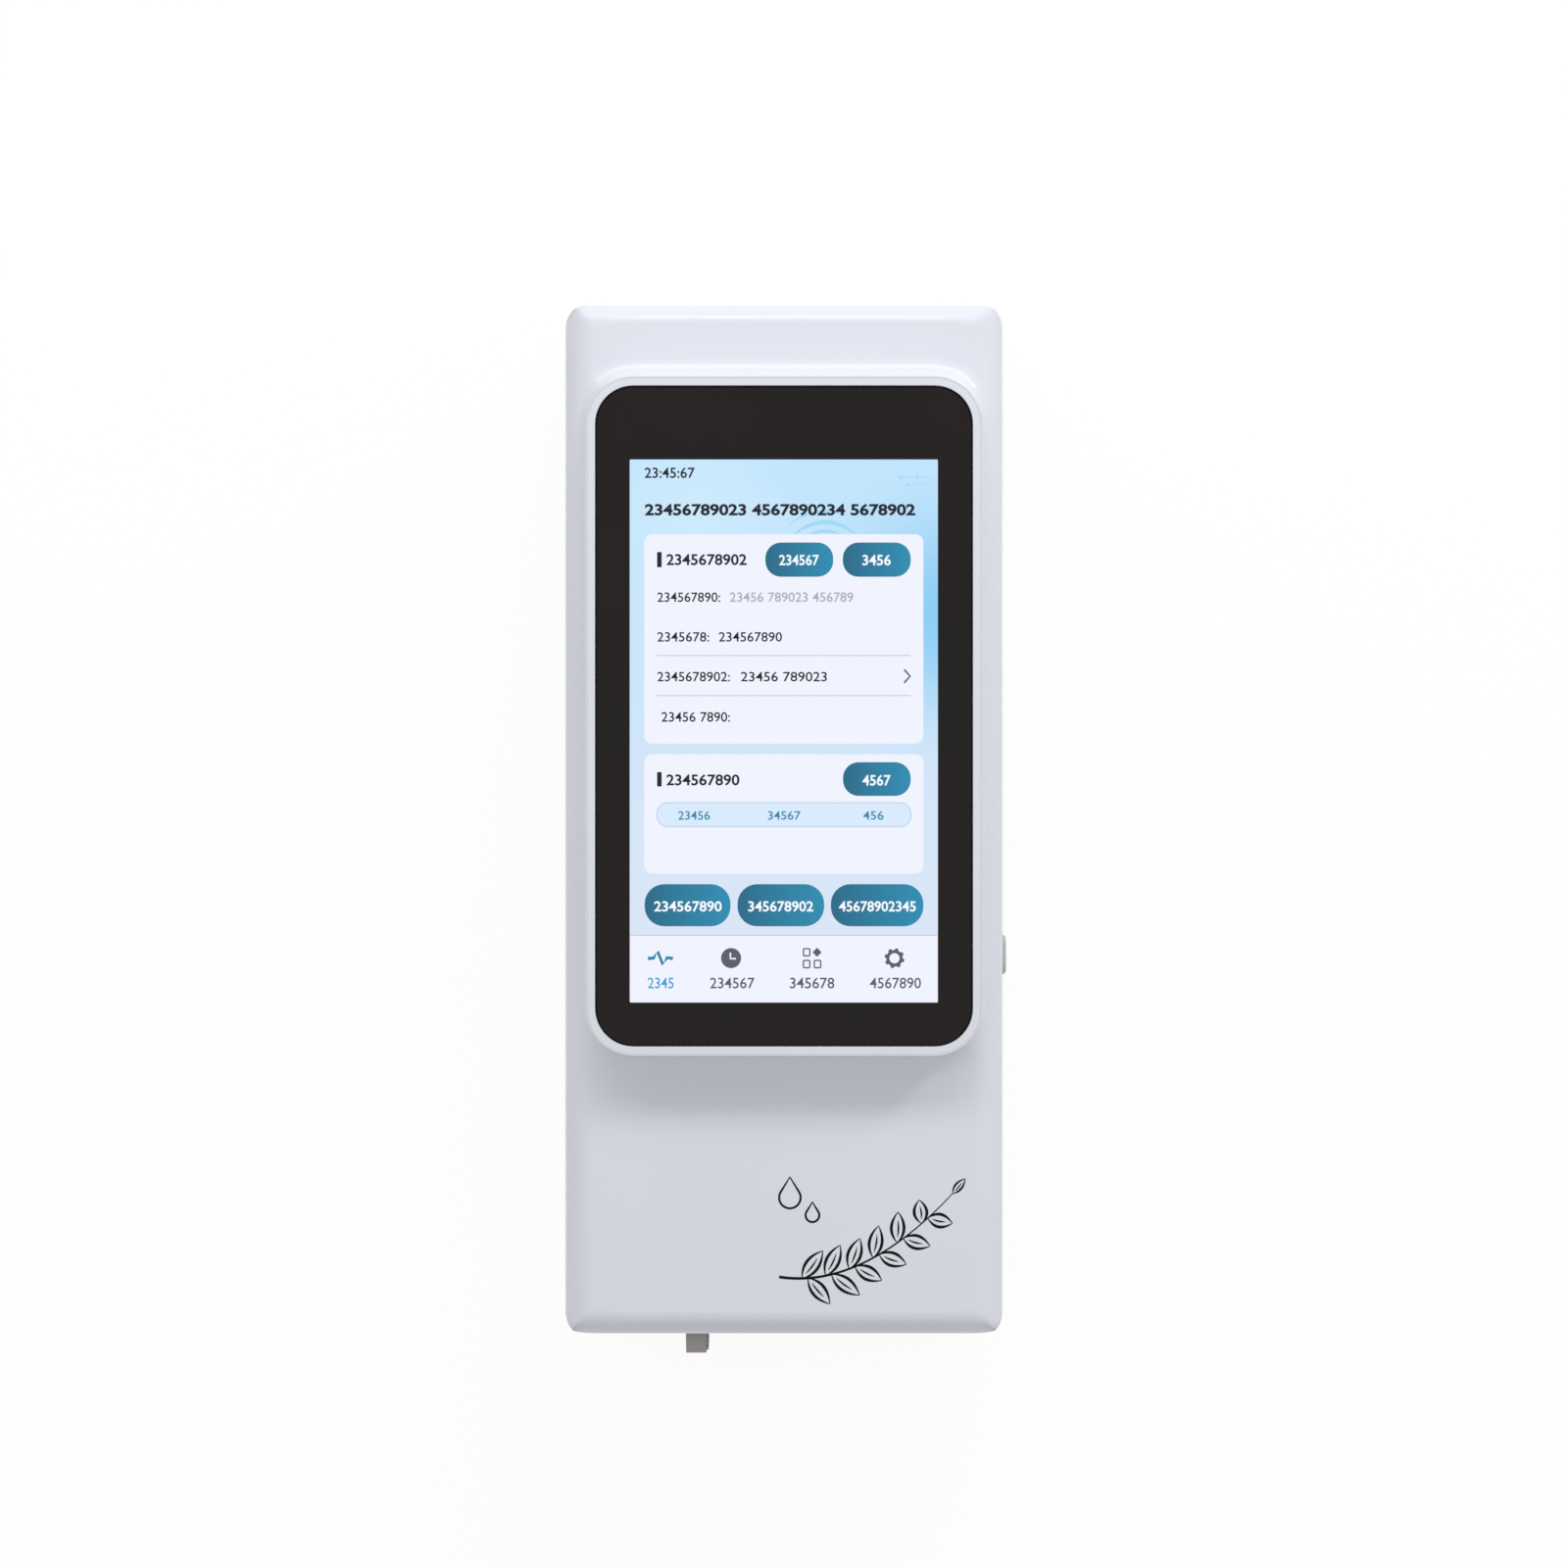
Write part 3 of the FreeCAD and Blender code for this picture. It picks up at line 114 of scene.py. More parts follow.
def surface(name, colour, roughness, metallic=0.0, tone=0.05, tone_scale=60, rough_range=0.06,
            grain=900, relief=0.01, stretch=(1, 1, 1), cells=False, soft_edge=0.0, **sockets):
    """Surface whose tone, roughness and fine relief vary over it. relief is the grain's height in mm,
    stretch draws the grain out, cells makes it pebbled, soft_edge is the radius in mm by which edges
    look rounded."""
    material, tree, shader = new_material(name)
    where = place_on_object(tree)
    grain_at = place_on_object(tree, stretch)
    dark = tuple(c * (1 - tone) for c in colour[:3]) + (1.0,)
    light = tuple(min(1, c * (1 + tone)) for c in colour[:3]) + (1.0,)
    broad = noise(tree, where, tone_scale)
    tree.links.new(mixed(tree, spread(tree, broad, 0, 1), dark, light), shader.inputs["Base Color"])
    fine = noise(tree, where, tone_scale * 7, 4)
    tree.links.new(spread(tree, fine, roughness - rough_range, roughness + rough_range),
                   shader.inputs["Roughness"])
    if cells:
        height = add(tree, "TexVoronoi", {"feature": "SMOOTH_F1"}, Vector=grain_at,
                     Scale=grain).outputs[0]
    else:
        height = noise(tree, grain_at, grain, 3)
    bump = add(tree, "Bump", None, Strength=1.0, Distance=relief * MM, Height=height)
    if soft_edge:
        rounded = add(tree, "Bevel", {"samples": 4}, Radius=soft_edge * MM)
        tree.links.new(rounded.outputs[0], bump.inputs["Normal"])
    tree.links.new(bump.outputs[0], shader.inputs["Normal"])
    shader.inputs["Metallic"].default_value = metallic
    for key, value in sockets.items():
        shader.inputs[key.replace("_", " ")].default_value = value
    return material


def display(name):
    """Near-black gloss that gives light: a material, its node tree and its shader."""
    material, tree, shader = new_material(name)
    fine = noise(tree, place_on_object(tree), 400)
    tree.links.new(spread(tree, fine, 0.04, 0.09), shader.inputs["Roughness"])
    shader.inputs["Base Color"].default_value = (0.003, 0.003, 0.003, 1)
    shader.inputs["Emission Strength"].default_value = 1.0
    shader.inputs["Specular IOR Level"].default_value = 0.2
    return material, tree, shader


def lit(name, first, second=None):
    """A lit part of the display: its colour runs from first to second as the shape's shade does, with
    the faint grid of the display's dots."""
    material, tree, shader = display(name)
    last = second or first
    shade = add(tree, "Attribute", {"attribute_name": "shade"}).outputs["Fac"]
    dots = add(tree, "TexVoronoi", {"distance": "CHEBYCHEV"}, Vector=place_on_object(tree), Scale=11000,
               Randomness=0.0).outputs[0]
    flat = mixed(tree, shade, first, last)
    dim = tuple(c * 0.97 for c in last[:3]) + (1.0,)
    tree.links.new(mixed(tree, spread(tree, dots, 0, 0.12, 0.35, 0.5), flat, dim),
                   shader.inputs["Emission Color"])
    return material


def gradient(tree, where, axis, low, high):
    """0 to 1 along one axis of the object between two places in mm."""
    parts = add(tree, "SeparateXYZ", None, Vector=where)
    return spread(tree, parts.outputs[axis], 0, 1, low * MM, high * MM)


def glow(tree, where, centre, radius):
    """1 at a place in mm, falling to 0 at radius."""
    far = add(tree, "VectorMath", {"operation": "DISTANCE"}, _0=where,
              _1=[c * MM for c in centre]).outputs["Value"]
    return add(tree, "MapRange", {"interpolation_type": "SMOOTHSTEP"}, Value=far, From_Min=0.0,
               From_Max=radius * MM, To_Min=1.0, To_Max=0.0).outputs[0]


# ---------------------------------------------------------------- finishes
def shell_plastic():
    """Satin moulded white with a faint blue cast, softened edges and rounder upper corners."""
    material = surface("shell_plastic", (0.735, 0.75, 0.819), 0.33, tone=0.008, tone_scale=18,
                       rough_range=0.03, grain=650, relief=0.003, soft_edge=0.25,
                       Specular_IOR_Level=0.12, Coat_Weight=0.5, Coat_Roughness=0.06)
    tree = material.node_tree
    where = place_on_object(tree)
    corner_x, corner_y, corner_z, reach = 41.5, 102.5, 47, 13
    near_corner = 0.0
    for x in (-corner_x, corner_x):
        for y in (-corner_y, corner_y):
            here = glow(tree, where, (x, y, corner_z), reach)
            near_corner = add(tree, "Math", {"operation": "ADD"}, _0=near_corner, _1=here).outputs[0]
    wide = spread(tree, near_corner, 0.25 * MM, 2.8 * MM, 0.0, 0.8)
    rounding = next(node for node in tree.nodes if node.type == "BEVEL")
    tree.links.new(wide, rounding.inputs["Radius"])
    tree.links.new(rounding.outputs[0], tree.nodes["Principled BSDF"].inputs["Coat Normal"])
    return material


def glass_black():
    """Cover glass, black-printed behind: brown-black gloss with a trace of finger marks."""
    return surface("cover_glass", (0.0065, 0.0032, 0.003), 0.05, tone=0.2, tone_scale=40,
                   rough_range=0.025, grain=120, relief=0.0006, Specular_IOR_Level=0.2)


def tab_plastic():
    """Pull tab with painted shade: dark blue-grey at its root, where the body shades it, paler and warmer
    towards its tip.
    """
    material = surface("tab_plastic", (0.155, 0.172, 0.225), 0.42, tone=0.1, tone_scale=300, grain=2600,
                       relief=0.02, soft_edge=0.2)
    tree = material.node_tree
    shader = tree.nodes["Principled BSDF"]
    root_y, tip_y = -106, -112
    # Painted shade: the colour runs from the shaded dark blue-grey at the root to a paler warm grey at
    # the tip.
    along = gradient(tree, place_on_object(tree), 1, root_y, tip_y)
    shaded_root_tone = shader.inputs["Base Color"].links[0].from_socket
    tree.links.new(mixed(tree, along, shaded_root_tone, (0.39, 0.365, 0.352, 1)), shader.inputs["Base Color"])
    return material


def board_green():
    """Solder mask over faint copper runs."""
    material = surface("board_green", (0.012, 0.075, 0.03), 0.36, tone=0.15, tone_scale=400, grain=1500,
                       relief=0.01)
    tree = material.node_tree
    shader = tree.nodes["Principled BSDF"]
    where = place_on_object(tree)
    runs = add(tree, "TexBrick", {"offset": 0.5}, Vector=where, Scale=300, Color1=(1, 1, 1, 1),
               Color2=(1, 1, 1, 1), Mortar=(0, 0, 0, 1), Mortar_Size=0.03, Brick_Width=2.2,
               Row_Height=0.35).outputs["Fac"]
    mask = shader.inputs["Base Color"].links[0].from_socket
    tree.links.new(mixed(tree, runs, mask, (0.02, 0.14, 0.05, 1)), shader.inputs["Base Color"])
    return material


def metal(name, colour, roughness, **settings):
    """Bare or plated metal, faintly mottled."""
    return surface(name, colour, roughness, metallic=1.0, tone=0.06, tone_scale=200, **settings)


FINISHES = {
    "shell_plastic": shell_plastic(),
    "button_plastic": surface("button_plastic", (0.5, 0.505, 0.52), 0.38, tone=0.06, tone_scale=300,
                              grain=2400, relief=0.012, soft_edge=0.2),
    "drawer_plastic": surface("drawer_plastic", (0.56, 0.58, 0.64), 0.45, tone=0.03, grain=1800,
                              relief=0.02, soft_edge=0.2),
    "tab_plastic": tab_plastic(),
    "foot_rubber": surface("foot_rubber", (0.016, 0.016, 0.018), 0.75, tone=0.25, tone_scale=250,
                           grain=1600, relief=0.06, cells=True),
    "cover_glass": glass_black(),
    "lcd_glass": surface("lcd_glass", (0.01, 0.016, 0.03), 0.12, tone=0.2, grain=300, relief=0.002),
    "gasket_foam": surface("gasket_foam", (0.004, 0.004, 0.004), 0.95, tone=0.4, tone_scale=900,
                           rough_range=0.04, grain=1500, relief=0.08, cells=True),
    "foam": surface("foam", (0.04, 0.04, 0.042), 0.95, tone=0.4, tone_scale=900, rough_range=0.04,
                    grain=1200, relief=0.1, cells=True),
    "frame_steel": metal("frame_steel", (0.42, 0.43, 0.45), 0.34, grain=1200, relief=0.006,
                         stretch=(1, 0.02, 1), soft_edge=0.15),
    "screw_steel": metal("screw_steel", (0.4, 0.41, 0.43), 0.36, grain=3000, relief=0.008,
                         soft_edge=0.15),
    "rod_steel": metal("rod_steel", (0.6, 0.61, 0.63), 0.14, grain=2500, relief=0.002,
                       stretch=(1, 0.03, 1)),
    "can_metal": metal("can_metal", (0.6, 0.6, 0.62), 0.36, grain=900, relief=0.006, soft_edge=0.15),
    "magnet_metal": metal("magnet_metal", (0.62, 0.62, 0.64), 0.16, grain=2000, relief=0.003,
                          soft_edge=0.2),
    "flex_film": surface("flex_film", (0.48, 0.15, 0.012), 0.36, tone=0.12, tone_scale=250, grain=900,
                         relief=0.02, stretch=(1, 0.01, 0.01)),
    "board_green": board_green(),
    "chip_black": surface("chip_black", (0.008, 0.008, 0.009), 0.6, tone=0.25, tone_scale=500,
                          grain=3000, relief=0.02, soft_edge=0.1),
    "connector_cream": surface("connector_cream", (0.66, 0.6, 0.45), 0.4, tone=0.05, grain=1800,
                               relief=0.01, soft_edge=0.1),
    "battery_sleeve": surface("battery_sleeve", (0.006, 0.035, 0.21), 0.35, tone=0.12, tone_scale=90,
                              grain=260, relief=0.05, stretch=(1, 0.3, 1), Coat_Weight=0.3),
    "lead_sleeve": surface("lead_sleeve", (0.3, 0.008, 0.006), 0.45, tone=0.1, tone_scale=400,
                           grain=1500, relief=0.02, soft_edge=0.4),
    "bench_plastic": surface("bench_plastic", (0.011, 0.011, 0.012), 0.55, tone=0.2, tone_scale=150,
                             grain=2200, relief=0.03, soft_edge=0.15),
    "bearing_bronze": metal("bearing_bronze", (0.48, 0.24, 0.075), 0.36, grain=3500, relief=0.015,
                            cells=True),
    "motor_steel": surface("motor_steel", (0.025, 0.025, 0.028), 0.35, metallic=0.4, tone=0.2,
                           tone_scale=300, grain=2600, relief=0.02, soft_edge=0.2),
    "head_aluminium": metal("head_aluminium", (0.028, 0.028, 0.032), 0.42, grain=3200, relief=0.012,
                            soft_edge=0.2),
    "lens_glass": surface("lens_glass", (0.9, 0.95, 1.0), 0.03, tone=0.02, rough_range=0.015, grain=200,
                          relief=0.0005, Transmission_Weight=0.9, IOR=1.52),
    "filter_glass": surface("filter_glass", (0.85, 0.22, 0.03), 0.04, tone=0.05, rough_range=0.02,
                            grain=200, relief=0.0005, Transmission_Weight=0.7, IOR=1.52),
    "mirror_glass": metal("mirror_glass", (0.7, 0.55, 0.9), 0.04, rough_range=0.02, grain=200,
                          relief=0.0005),
    "diode_ceramic": surface("diode_ceramic", (0.014, 0.014, 0.02), 0.4, tone=0.2, tone_scale=500,
                             grain=2500, relief=0.02, soft_edge=0.1),
}


def finish_nodes():
    """Every CAD node takes its slot's finish."""
    for part in frame["record"]["subparts"]:
        slots = frame["nodes"][part["node"]].data.materials
        finish = FINISHES[part["material_slot"]]
        if not slots:
            slots.append(finish)
        for k in range(len(slots)):
            slots[k] = finish


# ---------------------------------------------------------------- flat shapes
# The screen and the deck print are laid out on a page 1600 units wide, seen from above, y down.
SCREEN_UNIT = 0.198375   # mm on the screen in one unit of the page
DECK_UNIT = 0.2007       # mm on the deck in one unit of the page
PAGE_MIDDLE = 800
PAGE_Y = 7.39            # y of the page's middle on the object, in mm
LAYER = 0.02             # thickness of one printed layer, in mm


class Print:
    """Thin flat shapes of one finish, gathered in one piece on top of a CAD node."""

    def __init__(self, name, node, layer, unit=SCREEN_UNIT):
        self.name = name
        self.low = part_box(node)[1][2] / MM
        self.high = self.low + layer * LAYER
        self.unit = unit
        self.mesh = bmesh.new()
        self.shade = self.mesh.loops.layers.float_color.new("shade")

    def place(self, p, z):
        """A vertex at a place on the page and a height in mm."""
        x = (p[0] - PAGE_MIDDLE) * self.unit
        y = PAGE_Y - (p[1] - PAGE_MIDDLE) * self.unit
        return self.mesh.verts.new((x * MM, y * MM, z * MM))

    def plate(self, outline, graded=False):
        """Filled outline; a graded one has a shade that runs from 0 at its left to 1 at its right."""
        top = [self.place(p, self.high) for p in outline]
        base = [self.place(p, self.low) for p in outline]
        left = min(p[0] for p in outline)
        wide = max(p[0] for p in outline) - left
        face = self.mesh.faces.new(top)
        for loop, p in zip(face.loops, outline):
            value = (p[0] - left) / wide if graded else 0.0
            loop[self.shade] = (value, value, value, 1)
        for k in range(len(outline)):
            n = (k + 1) % len(outline)
            self.mesh.faces.new((top[k], base[k], base[n], top[n]))

    def ribbon(self, points, widths, closed=False):
        """Line along points, of one width or of a list of widths."""
        sides = []
        count = len(points)
        for k, (x, y) in enumerate(points):
            before = points[(k - 1) % count] if closed or k else points[0]
            after = points[(k + 1) % count] if closed or k < count - 1 else points[-1]
            run = Vector((after[0] - before[0], after[1] - before[1])).normalized()
            half = widths[k] / 2 if isinstance(widths, list) else widths / 2
            sides.append(((x - run.y * half, y + run.x * half), (x + run.y * half, y - run.x * half)))
        # Each row holds one side's low and high vertex, then the other side's.
        rows = [[self.place(p, z) for p in pair for z in (self.low, self.high)] for pair in sides]
        for k in range(count if closed else count - 1):
            a, b = rows[k], rows[(k + 1) % count]
            self.mesh.faces.new((a[1], a[3], b[3], b[1]))
            self.mesh.faces.new((a[0], a[1], b[1], b[0]))
            self.mesh.faces.new((a[3], a[2], b[2], b[3]))

    def digits(self, text, sides, line, weight=0.01):
        """Figures fitted between a left and a right side, and the top and bottom of their line."""
        curve = bpy.data.curves.new("figures", "FONT")
        curve.body = text
        curve.resolution_u = 3
        curve.offset = weight
        setting = bpy.data.objects.new("figures", curve)
        bpy.context.scene.collection.objects.link(setting)
        flat = bpy.data.meshes.new_from_object(setting)
        xs = [v.co.x for v in flat.vertices]
        ys = [v.co.y for v in flat.vertices]
        start, base = min(xs), min(ys)
        left, right = sides
        top, bottom = line
        wide = (right - left) / (max(xs) - start)
        tall = (bottom - top) / (max(ys) - base)
        corners = [self.place((left + (x - start) * wide, bottom - (y - base) * tall), self.high)
                   for x, y in zip(xs, ys)]
        for polygon in flat.polygons:
            self.mesh.faces.new([corners[k] for k in polygon.vertices])
        bpy.data.objects.remove(setting)

    def finish(self, material, slot):
        """Ends the print as a piece of the housing."""
        bmesh.ops.recalc_face_normals(self.mesh, faces=self.mesh.faces)
        make_piece(self.name, self.mesh, material, "housing")


def make_piece(name, mesh, material, body):
    """Ends a mesh as a named piece with one material, that moves with a body."""
    data = bpy.data.meshes.new(name)
    mesh.to_mesh(data)
    mesh.free()
    data.materials.append(material)
    piece = bpy.data.objects.new(name, data)
    bpy.context.scene.collection.objects.link(piece)
    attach(piece, body)
    return piece


def rounded(left, top, right, bottom, radius, steps=5):
    """Outline of a rounded rectangle."""
    points = []
    for cx, cy, start in ((right - radius, top + radius, -90), (right - radius, bottom - radius, 0),
                          (left + radius, bottom - radius, 90), (left + radius, top + radius, 180)):
        for k in range(steps + 1):
            turn = math.radians(start + 90 * k / steps)
            points.append((cx + radius * math.cos(turn), cy + radius * math.sin(turn)))
    return points


def ring(cx, cy, radius, count=28, start=0, sweep=360):
    """Points round a circle, or along an arc of it when the sweep is under 360 degrees."""
    gaps = count if sweep == 360 else count - 1
    turns = [math.radians(start + sweep * k / gaps) for k in range(count)]
    return [(cx + radius * math.cos(turn), cy + radius * math.sin(turn)) for turn in turns]


# ---------------------------------------------------------------- the lit screen
def picture_light():
    """Pale blue picture, deeper at its upper right, with a soft brightening across the middle."""
    low_y, high_y, glass_z = -36, 72, 57.8
    material, tree, shader = display("screen_picture")
    where = place_on_object(tree)
    height = gradient(tree, where, 1, low_y, high_y)
    base = mixed(tree, height, lin(220, 228, 244), lin(190, 227, 251))
    deep = mixed(tree, glow(tree, where, (31, 42, glass_z), 32), base, lin(138, 204, 244))
    bright = mixed(tree, glow(tree, where, (-18, 62, glass_z), 26), deep, lin(203, 232, 251))
    tree.links.new(bright, shader.inputs["Emission Color"])
    return material


LIT = {
    "picture": picture_light(),
    "swirl": lit("screen_swirl", lin(158, 215, 246)),
    "card": lit("screen_card", lin(239, 242, 253)),
    "header": lit("screen_header", lin(215, 233, 251)),
    "edge": lit("screen_edge", lin(172, 201, 225)),
    "rule": lit("screen_rule", lin(201, 203, 215)),
    "pill": lit("screen_pill", lin(33, 101, 131), lin(38, 139, 177)),
    "white": lit("screen_white", lin(246, 250, 255)),
    "dark": lit("screen_dark", lin(24, 26, 36)),
    "grey": lit("screen_grey", lin(88, 91, 103)),
    "pale": lit("screen_pale", lin(170, 172, 185)),
    "teal": lit("screen_teal", lin(40, 134, 164)),
    "azure": lit("screen_azure", lin(60, 163, 214)),
}

# Places on the screen's page: left, top, right, bottom
PICTURE = (642.6, 468.9, 957.0, 1023.0)
UPPER_CARD = (657.4, 545.2, 942.2, 758.8)
LOWER_CARD = (657.4, 769.7, 942.2, 891.4)
TABLE_HEAD = (670.3, 819, 929.7, 843.6)
UPPER_PILLS = [(781.0, 553.6, 850.2, 588.6), (860.0, 553.6, 929.3, 588.6), (860.2, 777.7, 929.3, 812.2)]
LOWER_PILLS = [(657.8, 902.2, 745.4, 945.2), (752.6, 902.2, 841.0, 945.2), (847.8, 902.2, 942.2, 945.2)]
NAV_TOP = 954.4
EDGE = 0.6               # what lies over the picture stops this far inside it
CARD_R = 8
HEAD_R = 11

# Lines of figures: top and bottom
CLOCK_LINE = (477, 488)
TITLE_LINE = (514, 526.4)
HEADING_LINES = ((565.2, 577), (790, 801.7))
HEADING_MARKS = ((563.3, 578.9), (787.8, 802.6))
FIELD_LINES = ((604.4, 614.4), (644.9, 654.9), (685.5, 695.5), (726.5, 736.7))
PILL_LINES = ((566, 577), (790.6, 801.8), (919.4, 930.3))
HEAD_LINE = (827.6, 836.6)
NAV_LINE = (997.4, 1008.7)


def screen_part(name, layer, tone):
    """An empty print on the glass, and what ends it."""
    sheet = Print(name, "cover_glass", layer)
    return sheet, lambda: sheet.finish(LIT[tone], "lcd_glass")


def screen_picture():
    """The picture, its three faint arcs, and two thin links that end in dots."""
    sheet, done = screen_part("screen_picture", 1, "picture")
    sheet.plate(rounded(*PICTURE, 1.0, 2))
    done()
    sheet, done = screen_part("screen_swirls", 2, "swirl")
    swirl_x, swirl_y, steps = 842, 578, 18
    for radius, start, sweep, wide in ((45, 222, 96, 4.0), (56, 228, 62, 2.2), (36, 236, 62, 2.6)):
        widths = [0.4 + wide * math.sin(math.pi * k / (steps - 1)) for k in range(steps)]
        sheet.ribbon(ring(swirl_x, swirl_y, radius, steps, start, sweep), widths)
    sheet.ribbon([(919, 487), (951, 487)], 0.8)
    sheet.ribbon([(926, 494.5), (951, 494.5)], 0.6)
    for x, y in ((919, 487), (936, 487), (926, 494.5)):
        sheet.plate(ring(x, y, 1.7, 10))
    done()


def screen_cards():
    """Two white cards, the bottom bar, the tinted head of the lower card's table, and thin rules."""
    left, _, right, bottom = PICTURE
    sheet, done = screen_part("screen_cards", 3, "card")
    sheet.plate(rounded(*UPPER_CARD, CARD_R))
    sheet.plate(rounded(*LOWER_CARD, CARD_R))
    sheet.plate(rounded(left + EDGE, NAV_TOP, right - EDGE, bottom - EDGE, 0.5, 2))
    done()
    sheet, done = screen_part("screen_table_head", 4, "header")
    sheet.plate(rounded(*TABLE_HEAD, HEAD_R))
    done()
    sheet, done = screen_part("screen_rules", 5, "edge")
    sheet.ribbon(rounded(*TABLE_HEAD, HEAD_R), 0.8, closed=True)
    sheet.ribbon([(left + EDGE, NAV_TOP), (right - EDGE, NAV_TOP)], 0.9)
    done()
    sheet, done = screen_part("screen_card_rules", 4, "rule")
    for y in (668.9, 709.8):
        sheet.ribbon([(670, y), (929.3, y)], 1.1)
    done()


def screen_pills():
    """Round-ended buttons that run from dark to light blue, with white figures."""
    sheet, done = screen_part("screen_pills", 4, "pill")
    for pills, radius in ((UPPER_PILLS, 16), (LOWER_PILLS, 20)):
        for pill in pills:
            sheet.plate(rounded(*pill, radius, 8), graded=True)
    done()
    sheet, done = screen_part("screen_pill_figures", 5, "white")
    bold = 0.018
    upper, middle, lower = PILL_LINES
    sheet.digits("234567", (795, 835.7), upper, bold)
    sheet.digits("3456", (880, 909), upper, bold)
    sheet.digits("4567", (880, 908.8), middle, bold)
    sheet.digits("234567890", (667.5, 736.5), lower, bold)
    sheet.digits("345678902", (763.5, 830), lower, bold)
    sheet.digits("45678902345", (856, 934.5), lower, bold)
    done()


def screen_dark_figures():
    """Clock, title, card headings with their square marks, and the card's fields, all plain numbers."""
    clock_bold, title_bold, heading_bold = 0.014, 0.034, 0.022
    sheet, done = screen_part("screen_ink_dark", 5, "dark")
    sheet.digits("23:45:67", (657.8, 709), CLOCK_LINE, clock_bold)
    sheet.digits("23456789023 4567890234 5678902", (658, 934), TITLE_LINE, title_bold)
    for top, bottom in HEADING_MARKS:
        sheet.plate(rounded(670.5, top, 675.2, bottom, 0.5, 2))
    upper, lower = HEADING_LINES
    sheet.digits("2345678902", (680, 762), upper, heading_bold)
    sheet.digits("234567890", (680, 754.6), lower, heading_bold)
    first, second, third, fourth = FIELD_LINES
    sheet.digits("234567890:", (670.7, 735), first)
    sheet.digits("2345678:", (670.7, 723.7), second)
    sheet.digits("234567890", (733.5, 798), second)
    sheet.digits("2345678902:", (670.7, 745), third)
    sheet.digits("23456 789023", (756, 843.8), third)
    sheet.digits("23456 7890:", (675, 745), fourth)
    done()


def screen_tinted_figures():
    """Figures under the icons, an arrow head, the pale hint in the first field, the table's head, and
    the pulse icon."""
    sheet, done = screen_part("screen_ink_grey", 5, "grey")
    sheet.digits("234567", (724.5, 770), NAV_LINE)
    sheet.digits("345678", (806, 851.4), NAV_LINE)
    sheet.digits("4567890", (887.5, 939.8), NAV_LINE)
    sheet.ribbon([(922.6, 683.2), (928.6, 690), (922.6, 696.8)], 2.0)
    done()
    sheet, done = screen_part("screen_ink_pale", 5, "pale")
    sheet.digits("23456 789023 456789", (744.7, 870.7), FIELD_LINES[0])
    done()
    sheet, done = screen_part("screen_ink_azure", 5, "azure")
    sheet.digits("2345", (661, 687.5), NAV_LINE)
    done()
    sheet, done = screen_part("screen_ink_teal", 5, "teal")
    sheet.digits("23456", (692, 724.5), HEAD_LINE)
    sheet.digits("34567", (783.5, 817), HEAD_LINE)
    sheet.digits("456", (880.7, 901.6), HEAD_LINE)
    pulse = [(661.1, 978), (667, 977.6), (671.2, 971.2), (676.4, 984), (680.4, 977.3), (686.7, 978)]
    sheet.ribbon(pulse, 3.6)
    done()


def gear(cx, cy, teeth=8, root=8.5, tip=10.3):
    """Closed outline of a small gear."""
    points = []
    for k in range(teeth):
        for part, reach in ((0.0, root), (0.15, tip), (0.5, tip), (0.65, root)):
            turn = math.radians(360 * (k + part) / teeth)
            points.append((cx + reach * math.cos(turn), cy + reach * math.sin(turn)))
    return points


def screen_icons():
    """Generic icons along the bottom bar: a clock, three squares with a diamond, and a gear."""
    clock_at, gear_at = (746, 977.6), (912.7, 977.8)
    stroke, side = 1.5, 7.2
    inner = stroke / 2
    sheet, done = screen_part("screen_icons", 5, "grey")
    sheet.plate(ring(*clock_at, 10.3))
    for left, top, bottom in ((819.1, 967.3, 976.1), (819.1, 979.2, 988.2), (830.2, 979.2, 988.2)):
        square = rounded(left + inner, top + inner, left + side, bottom - inner, 0.8, 2)
        sheet.ribbon(square, stroke, closed=True)
    sheet.plate([(833.7, 967), (838.4, 971.7), (833.7, 976.4), (829, 971.7)])
    sheet.plate(gear(*gear_at))
    done()
    sheet, done = screen_part("screen_icon_hollows", 6, "card")
    hands = [(745.3, 972.1), (745.3, 978.2), (751, 978.2)]
    sheet.ribbon(hands, 1.8)
    sheet.plate(ring(*gear_at, 5.2, 20))
    done()


# ---------------------------------------------------------------- line print on the lower deck
def curve_through(start, bend, end, count=14):
    """Points along a quadratic curve."""
    points = []
    for k in range(count):
        t = k / (count - 1)
        points.append(tuple(a * (1 - t) ** 2 + 2 * b * t * (1 - t) + c * t * t
                            for a, b, c in zip(start, bend, end)))
    return points


def tapered(count, thick, thin=0.7):
    """Widths of a stroke that is thick half way along and thin at both ends."""
    return [thin + (thick - thin) * math.sin(math.pi * k / (count - 1)) for k in range(count)]


def leaf(sheet, root, reach, turn, plump, thick):
    """Leaf outline in two strokes that meet at its tip, with a short mid stroke."""
    along = Vector((math.cos(turn), math.sin(turn)))
    across = Vector((-along.y, along.x))
    root = Vector(root)
    tip = root + along * reach
    middle = root + along * reach * 0.45
    for side in (-1, 1):
        bend = middle + across * side * plump
        stroke = curve_through(root, bend, tip)
        sheet.ribbon(stroke, tapered(len(stroke), thick))
    vein = curve_through(root + along * reach * 0.18, middle + across * plump * 0.12,
                         root + along * reach * 0.72, 8)
    sheet.ribbon(vein, tapered(len(vein), thick * 0.6, 0.5))


